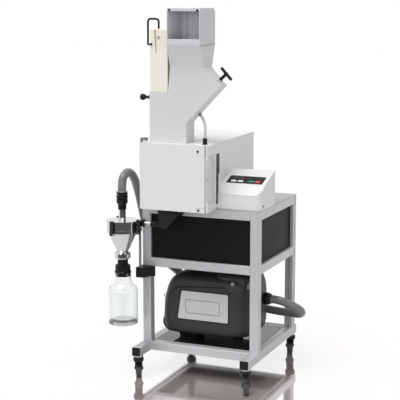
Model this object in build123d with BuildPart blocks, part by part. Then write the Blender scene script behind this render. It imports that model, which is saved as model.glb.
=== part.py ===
"""Floor-standing laboratory cutting mill on a wheeled frame, with cyclone and suction unit.

Millimetres, +Z up, front towards -Y. The origin is on the floor under the middle of the machine.
"""

import math
import os

from build123d import *

os.makedirs("parts", exist_ok=True)

# Places of the three groups
FRAME_X = 56.5            # centre line of the frame
FRAME_Y = -201.0          # front faces of the posts
CYCLONE_OUT = 337.0       # cyclone's axis, to the left of the frame's centre line
CYCLONE_AHEAD = 94.0      # cyclone's axis, in front of the posts
CYCLONE_X = FRAME_X - CYCLONE_OUT
CYCLONE_Y = FRAME_Y - CYCLONE_AHEAD

# Clearances
SEAT = 0.2                # between pieces of one body that seat on each other
SLIP = 0.5                # around a piece that slides or turns past another
RUN = 0.05                # radial clearance of pins and shafts
LIFT = 0.3                # under a moving piece that lies on another

# Frame of grooved aluminium profile
PROFILE = 40.0
PROFILE_CHAMFER = 1.5
SLOT_MOUTH = 8.0
SLOT_LIP = 5.0
SLOT_DEPTH = 12.0
SLOT_ROOM = 15.0
FRAME_WIDTH = 564.0
FRAME_DEPTH = 518.0
RAIL_OVERHANG = 118.0
RAIL_TAIL = 20.0          # base rails beyond the rear posts
CAP_THICK = 4.0
CAP_CORNER = 3.0
CASTOR_HEIGHT = 108.0
DECK_TOP = 793.0
DECK_THICK = 3.0
DECK_CORNER = 6.0
MID_RAIL_TOP = 545.0
PANEL_THICK = 6.0
SHELF_THICK = 2.0
SHELF_SKIRT = 30.0

LEFT_X = FRAME_X - FRAME_WIDTH / 2
RIGHT_X = FRAME_X + FRAME_WIDTH / 2
BACK_Y = FRAME_Y + FRAME_DEPTH
POST_XS = (LEFT_X + PROFILE / 2, RIGHT_X - PROFILE / 2)
POST_YS = (FRAME_Y + PROFILE / 2, BACK_Y - PROFILE / 2)
BASE_TOP = CASTOR_HEIGHT + PROFILE
RAIL_TOP = DECK_TOP - DECK_THICK
SPAN_X = FRAME_WIDTH - 2 * PROFILE
SPAN_Y = FRAME_DEPTH - 2 * PROFILE
GROOVE_REACH = SLOT_DEPTH - SEAT

# Castors
WHEEL_R = 37.5
WHEEL_WIDTH = 25.0
WHEEL_EDGE = 3.0
HUB_R = 13.0
FORK_GAP = 28.0
FORK_LEG = 3.0
FORK_PLATE = 3.5
FORK_HEAD_R = 21.0
LEG_END_R = 10.0
LEG_TOP_WIDTH = 34.0
CASTOR_TRAIL = 28.0
CASTOR_AXLE_R = 4.0
AXLE_HEAD_R = 6.5
AXLE_HEAD = 3.0
KING_PIN_R = 6.0
RIVET_R = 10.0
RIVET_THICK = 3.0
SWIVEL_R = 21.0
SWIVEL_THICK = 6.0
CASTOR_INSET = 23.0
CASTOR_TURN = 23.0        # the way the castors stand, in degrees

# Mill housing
HOUSING_OFFSET = 82.0
HOUSING_WIDTH = 311.0
HOUSING_TOP = 1088.0
CHAMBER_AHEAD = 95.0
CHAMBER_WALL = 27.0       # behind the bore
HOUSING_REACH = 468.0
COVER_WALL = 3.0
ROTOR_LEFT = 116.0
ROTOR_Z = 933.0
BORE_R = 68.0
OUTLET_WIDTH = 92.0
OUTLET_INSET = 4.0
HOUSING_RIGHT = FRAME_X + HOUSING_OFFSET
HOUSING_LEFT = HOUSING_RIGHT - HOUSING_WIDTH
CHAMBER_FRONT = FRAME_Y - CHAMBER_AHEAD
HOUSING_BACK = FRAME_Y + HOUSING_REACH
ROTOR_X = FRAME_X - ROTOR_LEFT
INLET_TOP = 168.0
INLET_BOTTOM = 90.0
INLET_RISE = 50.0
SIDE_RECESS = 8.0
SIDE_RECESS_LENGTH = 80.0
RECESS_FOOT = 26.0
RECESS_HEAD = 48.0
STRIP_RECESS = 3.0
STRIP_WIDTH = 27.0
STRIP_FOOT = 5.0
STRIP_MARGIN = 3.0

# Rotor, knives and sieve
SHAFT_R = 19.0
HUB_RADIUS = 36.0
DISC_R = 57.0
DISC_COUNT = 6
DISC_THICK = 12.0
DISC_PITCH = 14.0
DISC_TWIST = 20.0
TIPS_PER_DISC = 3
TIP_LENGTH = 20.0
TIP_THICK = 4.5
TIP_CIRCLE_R = 64.0
POCKET_WIDTH = 20.0
ROTOR_FRONT_GAP = 7.0
ROTOR_BACK_GAP = 4.0
COUPLING_R = 45.0
COUPLING_THICK = 20.0
BAR_ANGLES = (8.0, 40.0, 172.0)
BAR_INNER_R = 65.0
BAR_WIDTH = 23.0
BAR_THICK = 12.0
SIEVE_R = 68.2
SIEVE_THICK = 2.5
SIEVE_ROWS = 7
SIEVE_COLUMNS = 9
SIEVE_HOLE = 7.0
MOTOR_R = 75.0
MOTOR_LENGTH = 300.0
MOTOR_FOOT = (160.0, 180.0)
MOTOR_BOX = (90.0, 110.0, 40.0)

ROTOR_LENGTH = (DISC_COUNT - 1) * DISC_PITCH + DISC_THICK
BORE_DEPTH = ROTOR_FRONT_GAP + ROTOR_LENGTH + ROTOR_BACK_GAP
OUTLET_LENGTH = BORE_DEPTH - OUTLET_INSET - ROTOR_BACK_GAP - SEAT
CHAMBER_DEPTH = BORE_DEPTH + CHAMBER_WALL
CHAMBER_BACK = CHAMBER_FRONT + CHAMBER_DEPTH
SIDE_RECESS_Z = (DECK_TOP + RECESS_FOOT, HOUSING_TOP - RECESS_HEAD)
STRIP_Y = (CHAMBER_DEPTH - STRIP_WIDTH - STRIP_MARGIN, CHAMBER_DEPTH - STRIP_MARGIN)
STRIP_Z = (DECK_TOP + STRIP_FOOT, HOUSING_TOP - RECESS_HEAD - STRIP_MARGIN)

# Door
DOOR_THICK = 25.0
DOOR_WIDTH = 303.0
DOOR_BOTTOM_GAP = 1.0
DOOR_GRIP_R = 9.0
DOOR_BOSS_R = 60.0
DOOR_BOSS = 3.0
HINGE_PIN_R = 3.0
KNUCKLE_R = 6.0
HINGE_X = HOUSING_RIGHT - 1.0
HINGE_Y = CHAMBER_FRONT - 13.0
HINGE_TOP_BLOCK = RECESS_HEAD
HINGE_BOTTOM_BLOCK = RECESS_FOOT
HINGE_LEAF = 6.0
HINGE_LEAF_LENGTH = 35.0
EAR_HEIGHT = 17.0
LATCH_X = HOUSING_LEFT + 15.0
LATCH_Y = CHAMBER_FRONT + 3.0
LATCH_BOSS_R = 7.0
LATCH_BOSS = 8.0
LATCH_THICK = 12.0
LATCH_PIN_R = 3.0
LATCH_REACH = (-16.0, -18.0)
LATCH_END_R = 6.0

# Outlet under the chamber
FLANGE_SIZE = (124.0, 90.0)
FLANGE_THICK = 4.0
FUNNEL_WALL = 2.5
FUNNEL_STRAIGHT = 27.0    # upright part under the deck's top
FUNNEL_MOUTH = (94.0, 80.0)
FUNNEL_FOOT = (34.0, 36.0)
FUNNEL_FOOT_SHIFT = -30.0
PIPE_R = 11.0
PIPE_WALL = 1.5
PIPE_DROP = 81.0          # pipe's centre line under the deck's top
PIPE_Z = DECK_TOP - PIPE_DROP
FUNNEL_TOP_Z = DECK_TOP - FUNNEL_STRAIGHT
FUNNEL_BOTTOM_Z = PIPE_Z - PIPE_R - 1.0
STUB_R = 13.5
STUB_END = -99.0          # left end of the funnel's stub, from the rotor axis
COLLAR_R = 14.0
COLLAR_LENGTH = 16.0
COLLAR_START = 68.5       # left end of the pipe's collar, from the cyclone's axis
INLET_STUB = 76.0         # right end of the cyclone's inlet, from its axis

# Control box
CONTROL_LEFT = HOUSING_RIGHT + SEAT
CONTROL_WIDTH = 202.8
CONTROL_INSET = 13.0
CONTROL_DEPTH = 188.0
CONTROL_RIGHT = CONTROL_LEFT + CONTROL_WIDTH
CONTROL_FRONT = FRAME_Y + CONTROL_INSET
CONTROL_BACK = CONTROL_FRONT + CONTROL_DEPTH
CONTROL_LIP = 66.0
CONTROL_BEND = (42.0, 104.0)
CONTROL_HEIGHT = 156.0
CONTROL_CORNER = 30.0
PANEL_SIZE = (170.0, 68.0)
PANEL_RIGHT_GAP = 17.0
PANEL_X = CONTROL_RIGHT - PANEL_RIGHT_GAP - PANEL_SIZE[0] / 2
PANEL_UP = 52.0
PANEL_FOIL = 1.5
PANEL_RECESS = 1.2
KEY_SIZE = (25.0, 15.0)
KEY_CORNER = 3.0
KEY_THICK = 4.0
KEY_PROUD = 1.8
KEY_GAP = 0.3
KEY_POCKET = 5.0
KEY_UP = 36.0
KEY_XS = {"menu_key_left": 129.0, "menu_key_right": 161.0, "start_key": 212.0, "stop_key": 242.0}
LAMP_XS = (245.0, 259.0)
LAMP_UP = 76.0
LAMP_R = 2.0

# Hopper, sheet metal
SHEET = 2.0
HOPPER_AHEAD = 80.0
HOPPER_DEPTH = 89.0
CHANNEL_OFFSET = 88.0     # left side of the channel, from the rotor's axis
CHANNEL_WIDTH = 176.0
PLUNGER_SHAFT = 89.0
CHANNEL_RISE = 223.0
BELLY_RISE = 89.0
ELBOW_OUT = 155.0         # elbow's tip, from the channel's right side
ELBOW_RISE = 252.0
CHUTE_RISE = 330.0
CHUTE_INSET = 99.0        # chute's left side, from the channel's left side
CHUTE_WIDTH = 161.0
HOOD_WIDTH = 155.0
HOOD_AHEAD = 125.0
HOOD_DEPTH = 169.0
HOOD_RISE = 428.0
HOOD_HEIGHT = 156.0
HOOD_LIP = 26.0
HOOD_BROW = 13.0
HOOD_ROUND = 28.0
HOPPER_FRONT = FRAME_Y - HOPPER_AHEAD
CHANNEL_LEFT = ROTOR_X - CHANNEL_OFFSET
CHANNEL_RIGHT = CHANNEL_LEFT + CHANNEL_WIDTH
CHANNEL_TOP = HOUSING_TOP + CHANNEL_RISE
BELLY_Z = HOUSING_TOP + BELLY_RISE
ELBOW = (CHANNEL_RIGHT + ELBOW_OUT, HOUSING_TOP + ELBOW_RISE)
CHUTE_Z = HOUSING_TOP + CHUTE_RISE
CHUTE_X = (CHANNEL_LEFT + CHUTE_INSET, CHANNEL_LEFT + CHUTE_INSET + CHUTE_WIDTH)
HOOD_X = (CHUTE_X[1] - HOOD_WIDTH, CHUTE_X[1])
HOOD_Y = (FRAME_Y - HOOD_AHEAD, FRAME_Y - HOOD_AHEAD + HOOD_DEPTH)
HOOD_Z = (HOUSING_TOP + HOOD_RISE, HOUSING_TOP + HOOD_RISE + HOOD_HEIGHT)
HOOD_OPENING_Z = (HOOD_Z[0] + HOOD_LIP, HOOD_Z[1] - HOOD_BROW)
TILT_PIN_R = 5.0
TILT_LUG_R = 9.0
TILT_Y = HOPPER_FRONT + HOPPER_DEPTH + 13.0
TILT_Z = HOUSING_TOP + 12.0
LUG_WIDTH = 18.0
LUG_SPREAD = 84.0
BLOCK_WIDTH = 20.0
BLOCK_SPREAD = 124.0
BLOCK_BASE = 16.0

# Plunger and hopper fittings
PLUNGER_REACH = 19.0      # plunger's foot under the channel's top
PLUNGER_LENGTH = 289.0
PLUNGER_BOTTOM = CHANNEL_TOP - PLUNGER_REACH
PLUNGER_TOP = PLUNGER_BOTTOM + PLUNGER_LENGTH
HANDLE_R = 4.0
HANDLE_BEND = 12.0
HANDLE_OUT = 26.0
HANDLE_IN = 24.0
HANDLE_UP = 34.0
HANDLE_DOWN = 66.0
KNOB_DROP = 30.0
KNOB_Z = CHANNEL_TOP - KNOB_DROP
KNOB_BALL_R = 14.0
KNOB_REACH = 52.0
KNOB_FLAT_R = 5.0
KNOB_PIN_R = 4.0
KNOB_BOSS_R = 9.0
KNOB_COLLAR_R = 7.0
KNOB_BOSS = 12.0
T_ALONG = 76.0
T_STEM_R = 5.0
T_BAR_R = 5.5
T_BAR_LENGTH = 65.0
T_RISE = 46.0
T_BOSS_R = 10.0
T_BOSS = 8.0
GLAND_INSET = 24.0
GLAND_BACK = 21.0
GLAND_X = HOUSING_RIGHT - GLAND_INSET
GLAND_Y = CHAMBER_FRONT + GLAND_BACK
GLAND_R = 9.5
GLAND_HEIGHT = 20.0
CABLE_R = 6.0
CABLE_START = (14.3, -45.2)
CABLE_START_X = FRAME_X + CABLE_START[0]
CABLE_START_Y = FRAME_Y + CABLE_START[1]
CABLE_POINTS = (
    (29.7, -45.2, 1206.9),
    (46.7, -54.1, 1183.8),
    (55.6, -66.6, 1158.4),
    (58.0, -74.0, 1129.7),
)

# Cyclone and bottle
BODY_R = 69.0
BODY_OVER_PIPE = 12.0
BODY_HEIGHT = 44.0
CONE_HEIGHT = 94.0
CONE_FOOT_R = 26.0
FERRULE_R = 36.5
FERRULE_HEIGHT = 30.0
FERRULE_GAP = 3.0
CYCLONE_WALL = 2.0
LID_R = 74.0
LID_THICK = 6.0
TUBE_R = 16.0
TUBE_WALL = 1.5
TUBE_RISE = 76.0
TUBE_DROP = 34.0
COUPLING_LAP = 22.0
COUPLING_SLEEVE = 30.0
COUPLING_CUFF = 50.0
COUPLING_TUBE_R = 18.5
BODY_TOP = PIPE_Z + BODY_OVER_PIPE
BODY_BOTTOM = BODY_TOP - BODY_HEIGHT
CONE_FOOT_Z = BODY_BOTTOM - CONE_HEIGHT
FERRULE_Z = (CONE_FOOT_Z - FERRULE_GAP - FERRULE_HEIGHT, CONE_FOOT_Z - FERRULE_GAP)
TUBE_TOP = BODY_TOP + TUBE_RISE
TUBE_BOTTOM = BODY_TOP - TUBE_DROP
COUPLING_FOOT = TUBE_TOP - COUPLING_LAP
COUPLING_Z = (COUPLING_FOOT, COUPLING_FOOT + COUPLING_SLEEVE, COUPLING_FOOT + COUPLING_SLEEVE + COUPLING_CUFF)
COUPLING_HOSE_R = 25.0
HOSE_R = 19.0
HOSE_POINTS = (
    (-337.0, -94.0, 886.0),
    (-338.0, -84.0, 917.0),
    (-337.0, -57.0, 937.0),
    (-334.0, -22.0, 938.0),
    (-330.0, 10.0, 914.0),
    (-326.0, 33.0, 872.0),
    (-321.0, 60.0, 800.0),
    (-316.0, 88.0, 706.0),
    (-311.0, 135.0, 610.0),
    (-307.0, 205.0, 530.0),
    (-300.0, 290.0, 462.0),
    (-278.0, 362.0, 408.0),
    (-225.0, 396.0, 352.0),
    (-150.0, 403.0, 300.0),
    (-60.0, 404.0, 262.0),
    (30.0, 405.0, 249.0),
    (130.0, 401.0, 252.0),
    (232.0, 392.0, 246.0),
    (310.0, 374.0, 248.0),
    (365.0, 346.0, 254.0),
    (388.0, 308.0, 278.0),
    (368.0, 276.0, 306.0),
    (328.0, 254.0, 328.0),
    (284.0, 250.0, 340.0),
)
CORD_ARC_SHARE = 0.45     # of the shorter run beside each bend
LATCH_TURNS = (258.0, 4.0, 130.0)
TOGGLE_WIDTH = 16.0
TOGGLE_PIVOT = (77.0, BODY_TOP - 50.0)
TOGGLE_PIN_R = 2.5
TOGGLE_R = (75.0, 81.0)
CLAW_INNER_R = 69.0
CLAW_THICK = 3.0
TOGGLE_LUG = 3.0
ADAPTER_NECK_R = 23.5
ADAPTER_R = 34.5
ADAPTER_NECK = 26.0
ADAPTER_BODY = 38.0
ADAPTER_PLUG = 17.0
BOTTLE_R = 67.0
BOTTLE_NECK_R = 38.0
BOTTLE_NECK = 33.0
BOTTLE_SHOULDER = 56.0
BOTTLE_HEIGHT = 240.0
ADAPTER_SEAT_Z = FERRULE_Z[0] - ADAPTER_NECK - ADAPTER_BODY
ADAPTER_Z = (ADAPTER_SEAT_Z - ADAPTER_PLUG, ADAPTER_SEAT_Z, FERRULE_Z[0] - ADAPTER_NECK)
BOTTLE_BASE_Z = ADAPTER_SEAT_Z - BOTTLE_HEIGHT
BOTTLE_NECK_Z = ADAPTER_SEAT_Z - BOTTLE_NECK
BOTTLE_SHOULDER_Z = BOTTLE_NECK_Z - BOTTLE_SHOULDER
BOTTLE_WALL = 3.5
BOTTLE_FOOT = 8.0
ROD_R = 6.0
ROD_INSET = 10.0          # rod's axis, in from the frame's left side
ROD_AHEAD = 48.0
SLEEVE_R = 10.0
ARM_WIDTH = 12.0
COLLAR_OVERLAP = 1.0         # clamp ring past the barrel's wall, inwards and outwards
SLEEVE_HEIGHT = 14.0
SLEEVE_LIFT = 4.0
BRACKET_DROP = 37.0       # bracket's top under the middle rails' tops
BRACKET_HEIGHT = 46.0
BRACKET_REACH = 54.0
BRACKET_PLATE = 22.0
ROD_X = LEFT_X + ROD_INSET
ROD_Y = FRAME_Y - ROD_AHEAD
SLEEVE_Z = (BODY_BOTTOM - SLEEVE_LIFT, BODY_BOTTOM - SLEEVE_LIFT + SLEEVE_HEIGHT)
BRACKET_Z = (MID_RAIL_TOP - BRACKET_DROP - BRACKET_HEIGHT, MID_RAIL_TOP - BRACKET_DROP)
ROD_Z = (BRACKET_Z[0], SLEEVE_Z[1] + SLEEVE_LIFT)
BRACKET_TIP = ROD_X + BRACKET_REACH

# Suction unit on the shelf
UNIT_WIDTH = 447.0
UNIT_LEFT = 224.0         # left side, from the frame's centre line
UNIT_INSET = 70.0         # front face, behind the fronts of the posts
UNIT_DEPTH = 256.0
UNIT_LIFT = 30.0          # height of the feet
TANK_HEIGHT = 227.0
HEAD_RISE = (43.0, 79.0)  # head's top over the seam, at the left and at the right
HEAD_BREAK = 0.62         # share of the width where the head's top bends up
UNIT_LEAN = 11.0          # left side leans in by this
UNIT_CORNERS = (48.0, 42.0, 56.0, 72.0)
UNIT_ROUND = 26.0
PLATE_SIZE = (232.0, 254.0, 138.0)
PLATE_UP = 72.0
PLATE_LEFT = 82.0
PLATE_DEEP = 2.0
PLATE_CORNER = 11.0
UNIT_WHEEL_R = 46.0
UNIT_WHEEL_WIDTH = 26.0
UNIT_WHEEL_IN = 42.0
UNIT_WHEEL_INSET = 32.0
UNIT_AXLE_R = 6.0
UNIT_FOOT_R = 18.0
UNIT_FOOT_INSET = 62.0
SWITCH_IN = 358.0
SWITCH_UP = 34.0
SWITCH_R = 9.0
SWITCH_PROUD = 4.0
SWITCH_DEEP = 6.0
PORT_BACK = 180.0
PORT_UP = 162.0
PORT_R = 27.0
PORT_LENGTH = 22.0
UNIT_BOTTOM = BASE_TOP + UNIT_LIFT
UNIT_SEAM = UNIT_BOTTOM + TANK_HEIGHT
UNIT_X = (FRAME_X - UNIT_LEFT, FRAME_X - UNIT_LEFT + UNIT_WIDTH)
UNIT_Y = (FRAME_Y + UNIT_INSET, FRAME_Y + UNIT_INSET + UNIT_DEPTH)
UNIT_WHEEL_X = UNIT_X[0] + UNIT_WHEEL_IN
UNIT_AXLE_Z = UNIT_BOTTOM + UNIT_WHEEL_R
SWITCH_X = UNIT_X[0] + SWITCH_IN
SWITCH_Z = UNIT_SEAM + SWITCH_UP
PORT_Y = UNIT_Y[0] + PORT_BACK
PORT_Z = UNIT_BOTTOM + PORT_UP


def keep(piece, label):
    """Name a finished piece and write it."""
    piece.part.label = label
    export_step(piece.part, f"parts/{label}.step")


def front_plane(y):
    """Plane facing the front at this y; its own axes are X and Z, and negative depths go back."""
    return Plane.XZ.offset(-y)


def along_x(x, y, z):
    return Plane(origin=(x, y, z), x_dir=(0, 1, 0), z_dir=(1, 0, 0))


def along_y(x, y, z):
    return Plane(origin=(x, y, z), x_dir=(1, 0, 0), z_dir=(0, 1, 0))


def box_between(xs, ys, zs, mode=Mode.ADD):
    """A plain block between two x, two y and two z values."""
    with BuildSketch(Plane.XY.offset(zs[0])) as base:
        with Locations(((xs[0] + xs[1]) / 2, (ys[0] + ys[1]) / 2)):
            Rectangle(xs[1] - xs[0], ys[1] - ys[0])
    extrude(base.sketch, amount=zs[1] - zs[0], mode=mode)


# Frame

def profile_section(plane):
    """The square profile's section, with a T slot in each side."""
    with BuildSketch(plane) as section:
        Rectangle(PROFILE, PROFILE)
        chamfer(section.vertices(), PROFILE_CHAMFER)
        with PolarLocations(PROFILE / 2 - SLOT_LIP / 2, 4):
            Rectangle(SLOT_LIP, SLOT_MOUTH, mode=Mode.SUBTRACT)
        with PolarLocations(PROFILE / 2 - (SLOT_LIP + SLOT_DEPTH) / 2, 4):
            Rectangle(SLOT_DEPTH - SLOT_LIP, SLOT_ROOM, mode=Mode.SUBTRACT)
    return section.sketch


def profile_bars(members):
    """Bars of the profile, each from a plane at its end face and a length."""
    with BuildPart() as bars:
        for plane, length in members:
            extrude(profile_section(plane), amount=length)
    return bars


def ring_of_rails(z):
    """Four rails between the posts, with their centre lines at this height."""
    across = [(along_x(LEFT_X + PROFILE, y, z), SPAN_X) for y in POST_YS]
    deep = [(along_y(x, FRAME_Y + PROFILE, z), SPAN_Y) for x in POST_XS]
    return across + deep


base_mid_z = CASTOR_HEIGHT + PROFILE / 2
rail_start = FRAME_Y - RAIL_OVERHANG
rail_end = BACK_Y + RAIL_TAIL
long_rails = [(along_y(x, rail_start, base_mid_z), rail_end - rail_start) for x in POST_XS]
cross_bars = [(along_x(LEFT_X + PROFILE, y, base_mid_z), SPAN_X) for y in POST_YS]
base_frame = profile_bars(long_rails + cross_bars)
keep(base_frame, "base_frame")

posts = profile_bars(
    [(Plane((x, y, BASE_TOP)), RAIL_TOP - BASE_TOP) for x in POST_XS for y in POST_YS]
)
keep(posts, "posts")

top_ring = ring_of_rails(RAIL_TOP - PROFILE / 2)
middle_ring = ring_of_rails(MID_RAIL_TOP - PROFILE / 2)
upper_rails = profile_bars(top_ring + middle_ring)
keep(upper_rails, "upper_rails")

with BuildPart() as rail_end_caps:
    for x in POST_XS:
        for y in (rail_start - CAP_THICK, rail_end):
            with BuildSketch(along_y(x, y, base_mid_z)):
                RectangleRounded(PROFILE, PROFILE, CAP_CORNER)
            extrude(amount=CAP_THICK)
keep(rail_end_caps, "rail_end_caps")

with BuildPart() as deck_plate:
    with BuildSketch(Plane((FRAME_X, FRAME_Y + FRAME_DEPTH / 2, RAIL_TOP))):
        RectangleRounded(FRAME_WIDTH, FRAME_DEPTH, DECK_CORNER)
    extrude(amount=DECK_THICK)
keep(deck_plate, "deck_plate")

# The shelf is a folded tray let in between the base rails, flush with their tops
shelf_width = SPAN_X - 2 * SEAT
shelf_depth = SPAN_Y - 2 * SEAT
shelf_middle = (FRAME_X, FRAME_Y + FRAME_DEPTH / 2)
with BuildPart() as shelf_plate:
    with BuildSketch(Plane((*shelf_middle, BASE_TOP - SHELF_SKIRT))):
        Rectangle(shelf_width, shelf_depth)
    extrude(amount=SHELF_SKIRT)
    with BuildSketch(Plane((*shelf_middle, BASE_TOP - SHELF_SKIRT))):
        Rectangle(shelf_width - 2 * SHELF_THICK, shelf_depth - 2 * SHELF_THICK)
    extrude(amount=SHELF_SKIRT - SHELF_THICK, mode=Mode.SUBTRACT)
keep(shelf_plate, "shelf_plate")

panel_z = (MID_RAIL_TOP - GROOVE_REACH, RAIL_TOP - PROFILE + GROOVE_REACH)
inner_x = (LEFT_X + PROFILE - GROOVE_REACH, RIGHT_X - PROFILE + GROOVE_REACH)
inner_y = (FRAME_Y + PROFILE - GROOVE_REACH, BACK_Y - PROFILE + GROOVE_REACH)
with BuildPart() as cover_panels:
    for y in POST_YS:
        box_between(inner_x, (y - PANEL_THICK / 2, y + PANEL_THICK / 2), panel_z)
    for x in POST_XS:
        box_between((x - PANEL_THICK / 2, x + PANEL_THICK / 2), inner_y, panel_z)
keep(cover_panels, "cover_panels")


# Castors

CASTORS = {
    "front_left": (POST_XS[0], rail_start + CASTOR_INSET, 180.0 + CASTOR_TURN),
    "front_right": (POST_XS[1], rail_start + CASTOR_INSET, CASTOR_TURN),
    "rear_left": (POST_XS[0], rail_end - CASTOR_INSET, 180.0 + CASTOR_TURN),
    "rear_right": (POST_XS[1], rail_end - CASTOR_INSET, 180.0 + CASTOR_TURN),
}
swivel_bottom = CASTOR_HEIGHT - SWIVEL_THICK
fork_top = swivel_bottom - SEAT
fork_plate_bottom = fork_top - FORK_PLATE
rivet_top = fork_plate_bottom - SEAT

with BuildPart() as castor_heads:
    for x, y, turn in CASTORS.values():
        with BuildSketch(Plane((x, y, swivel_bottom))):
            Circle(SWIVEL_R)
        extrude(amount=SWIVEL_THICK)
        with BuildSketch(Plane((x, y, rivet_top))):
            Circle(KING_PIN_R)
        extrude(amount=swivel_bottom - rivet_top)
        with BuildSketch(Plane((x, y, rivet_top - RIVET_THICK))):
            Circle(RIVET_R)
        extrude(amount=RIVET_THICK)
keep(castor_heads, "castor_heads")


def castor_side(x, y, turn):
    """Plane through the swivel axis along the trail; its own axes are the trail and Z."""
    heading = math.radians(turn)
    trail = Vector(math.sin(heading), -math.cos(heading), 0)
    return Plane(origin=(x, y, 0), x_dir=trail, z_dir=trail.cross(Vector(0, 0, 1)))


def castor_fork(x, y, turn):
    """Pressed fork with its riveted axle."""
    side = castor_side(x, y, turn)
    half = FORK_GAP / 2 + FORK_LEG
    with BuildPart() as fork:
        for start in (-half, FORK_GAP / 2):
            with BuildSketch(side.offset(start)):
                with Locations((CASTOR_TRAIL, WHEEL_R)):
                    Circle(LEG_END_R)
                with Locations((0, fork_plate_bottom)):
                    Rectangle(LEG_TOP_WIDTH, FORK_PLATE)
                make_hull()
            extrude(amount=FORK_LEG)
        with BuildSketch(Plane((x, y, fork_plate_bottom))):
            Circle(FORK_HEAD_R)
        extrude(amount=FORK_PLATE)
        with BuildSketch(Plane((x, y, fork_plate_bottom - FORK_PLATE))):
            Circle(KING_PIN_R + RUN)
        extrude(amount=3 * FORK_PLATE, mode=Mode.SUBTRACT)
        with BuildSketch(side.offset(-half)):
            with Locations((CASTOR_TRAIL, WHEEL_R)):
                Circle(CASTOR_AXLE_R)
        extrude(amount=2 * half)
        for start in (-half - AXLE_HEAD, half):
            with BuildSketch(side.offset(start)):
                with Locations((CASTOR_TRAIL, WHEEL_R)):
                    Circle(AXLE_HEAD_R)
            extrude(amount=AXLE_HEAD)
    return fork


def castor_wheel(x, y, turn):
    """Wheel with a raised hub that runs between the fork's legs."""
    side = castor_side(x, y, turn)
    hub_half = FORK_GAP / 2 - SLIP
    with BuildPart() as wheel:
        with BuildSketch(side.offset(-WHEEL_WIDTH / 2)):
            with Locations((CASTOR_TRAIL, WHEEL_R)):
                Circle(WHEEL_R)
        extrude(amount=WHEEL_WIDTH)
        chamfer(wheel.edges().filter_by(GeomType.CIRCLE), WHEEL_EDGE)
        with BuildSketch(side.offset(-hub_half)):
            with Locations((CASTOR_TRAIL, WHEEL_R)):
                Circle(HUB_R)
        extrude(amount=2 * hub_half)
        with BuildSketch(side.offset(-hub_half)):
            with Locations((CASTOR_TRAIL, WHEEL_R)):
                Circle(CASTOR_AXLE_R + RUN)
        extrude(amount=2 * hub_half, mode=Mode.SUBTRACT)
    return wheel


for place, stand in CASTORS.items():
    keep(castor_fork(*stand), f"castor_fork_{place}")
    keep(castor_wheel(*stand), f"castor_wheel_{place}")


# Grinding chamber

def bar_sketch(plane, gap):
    """Outlines of the cutting bars around the rotor, each side moved out by the gap."""
    with BuildSketch(plane) as outlines:
        with Locations((ROTOR_X, ROTOR_Z)):
            for angle in BAR_ANGLES:
                with PolarLocations(BAR_INNER_R + BAR_WIDTH / 2, 1, start_angle=angle):
                    Rectangle(BAR_WIDTH + 2 * gap, BAR_THICK + 2 * gap)
    return outlines.sketch


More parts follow.
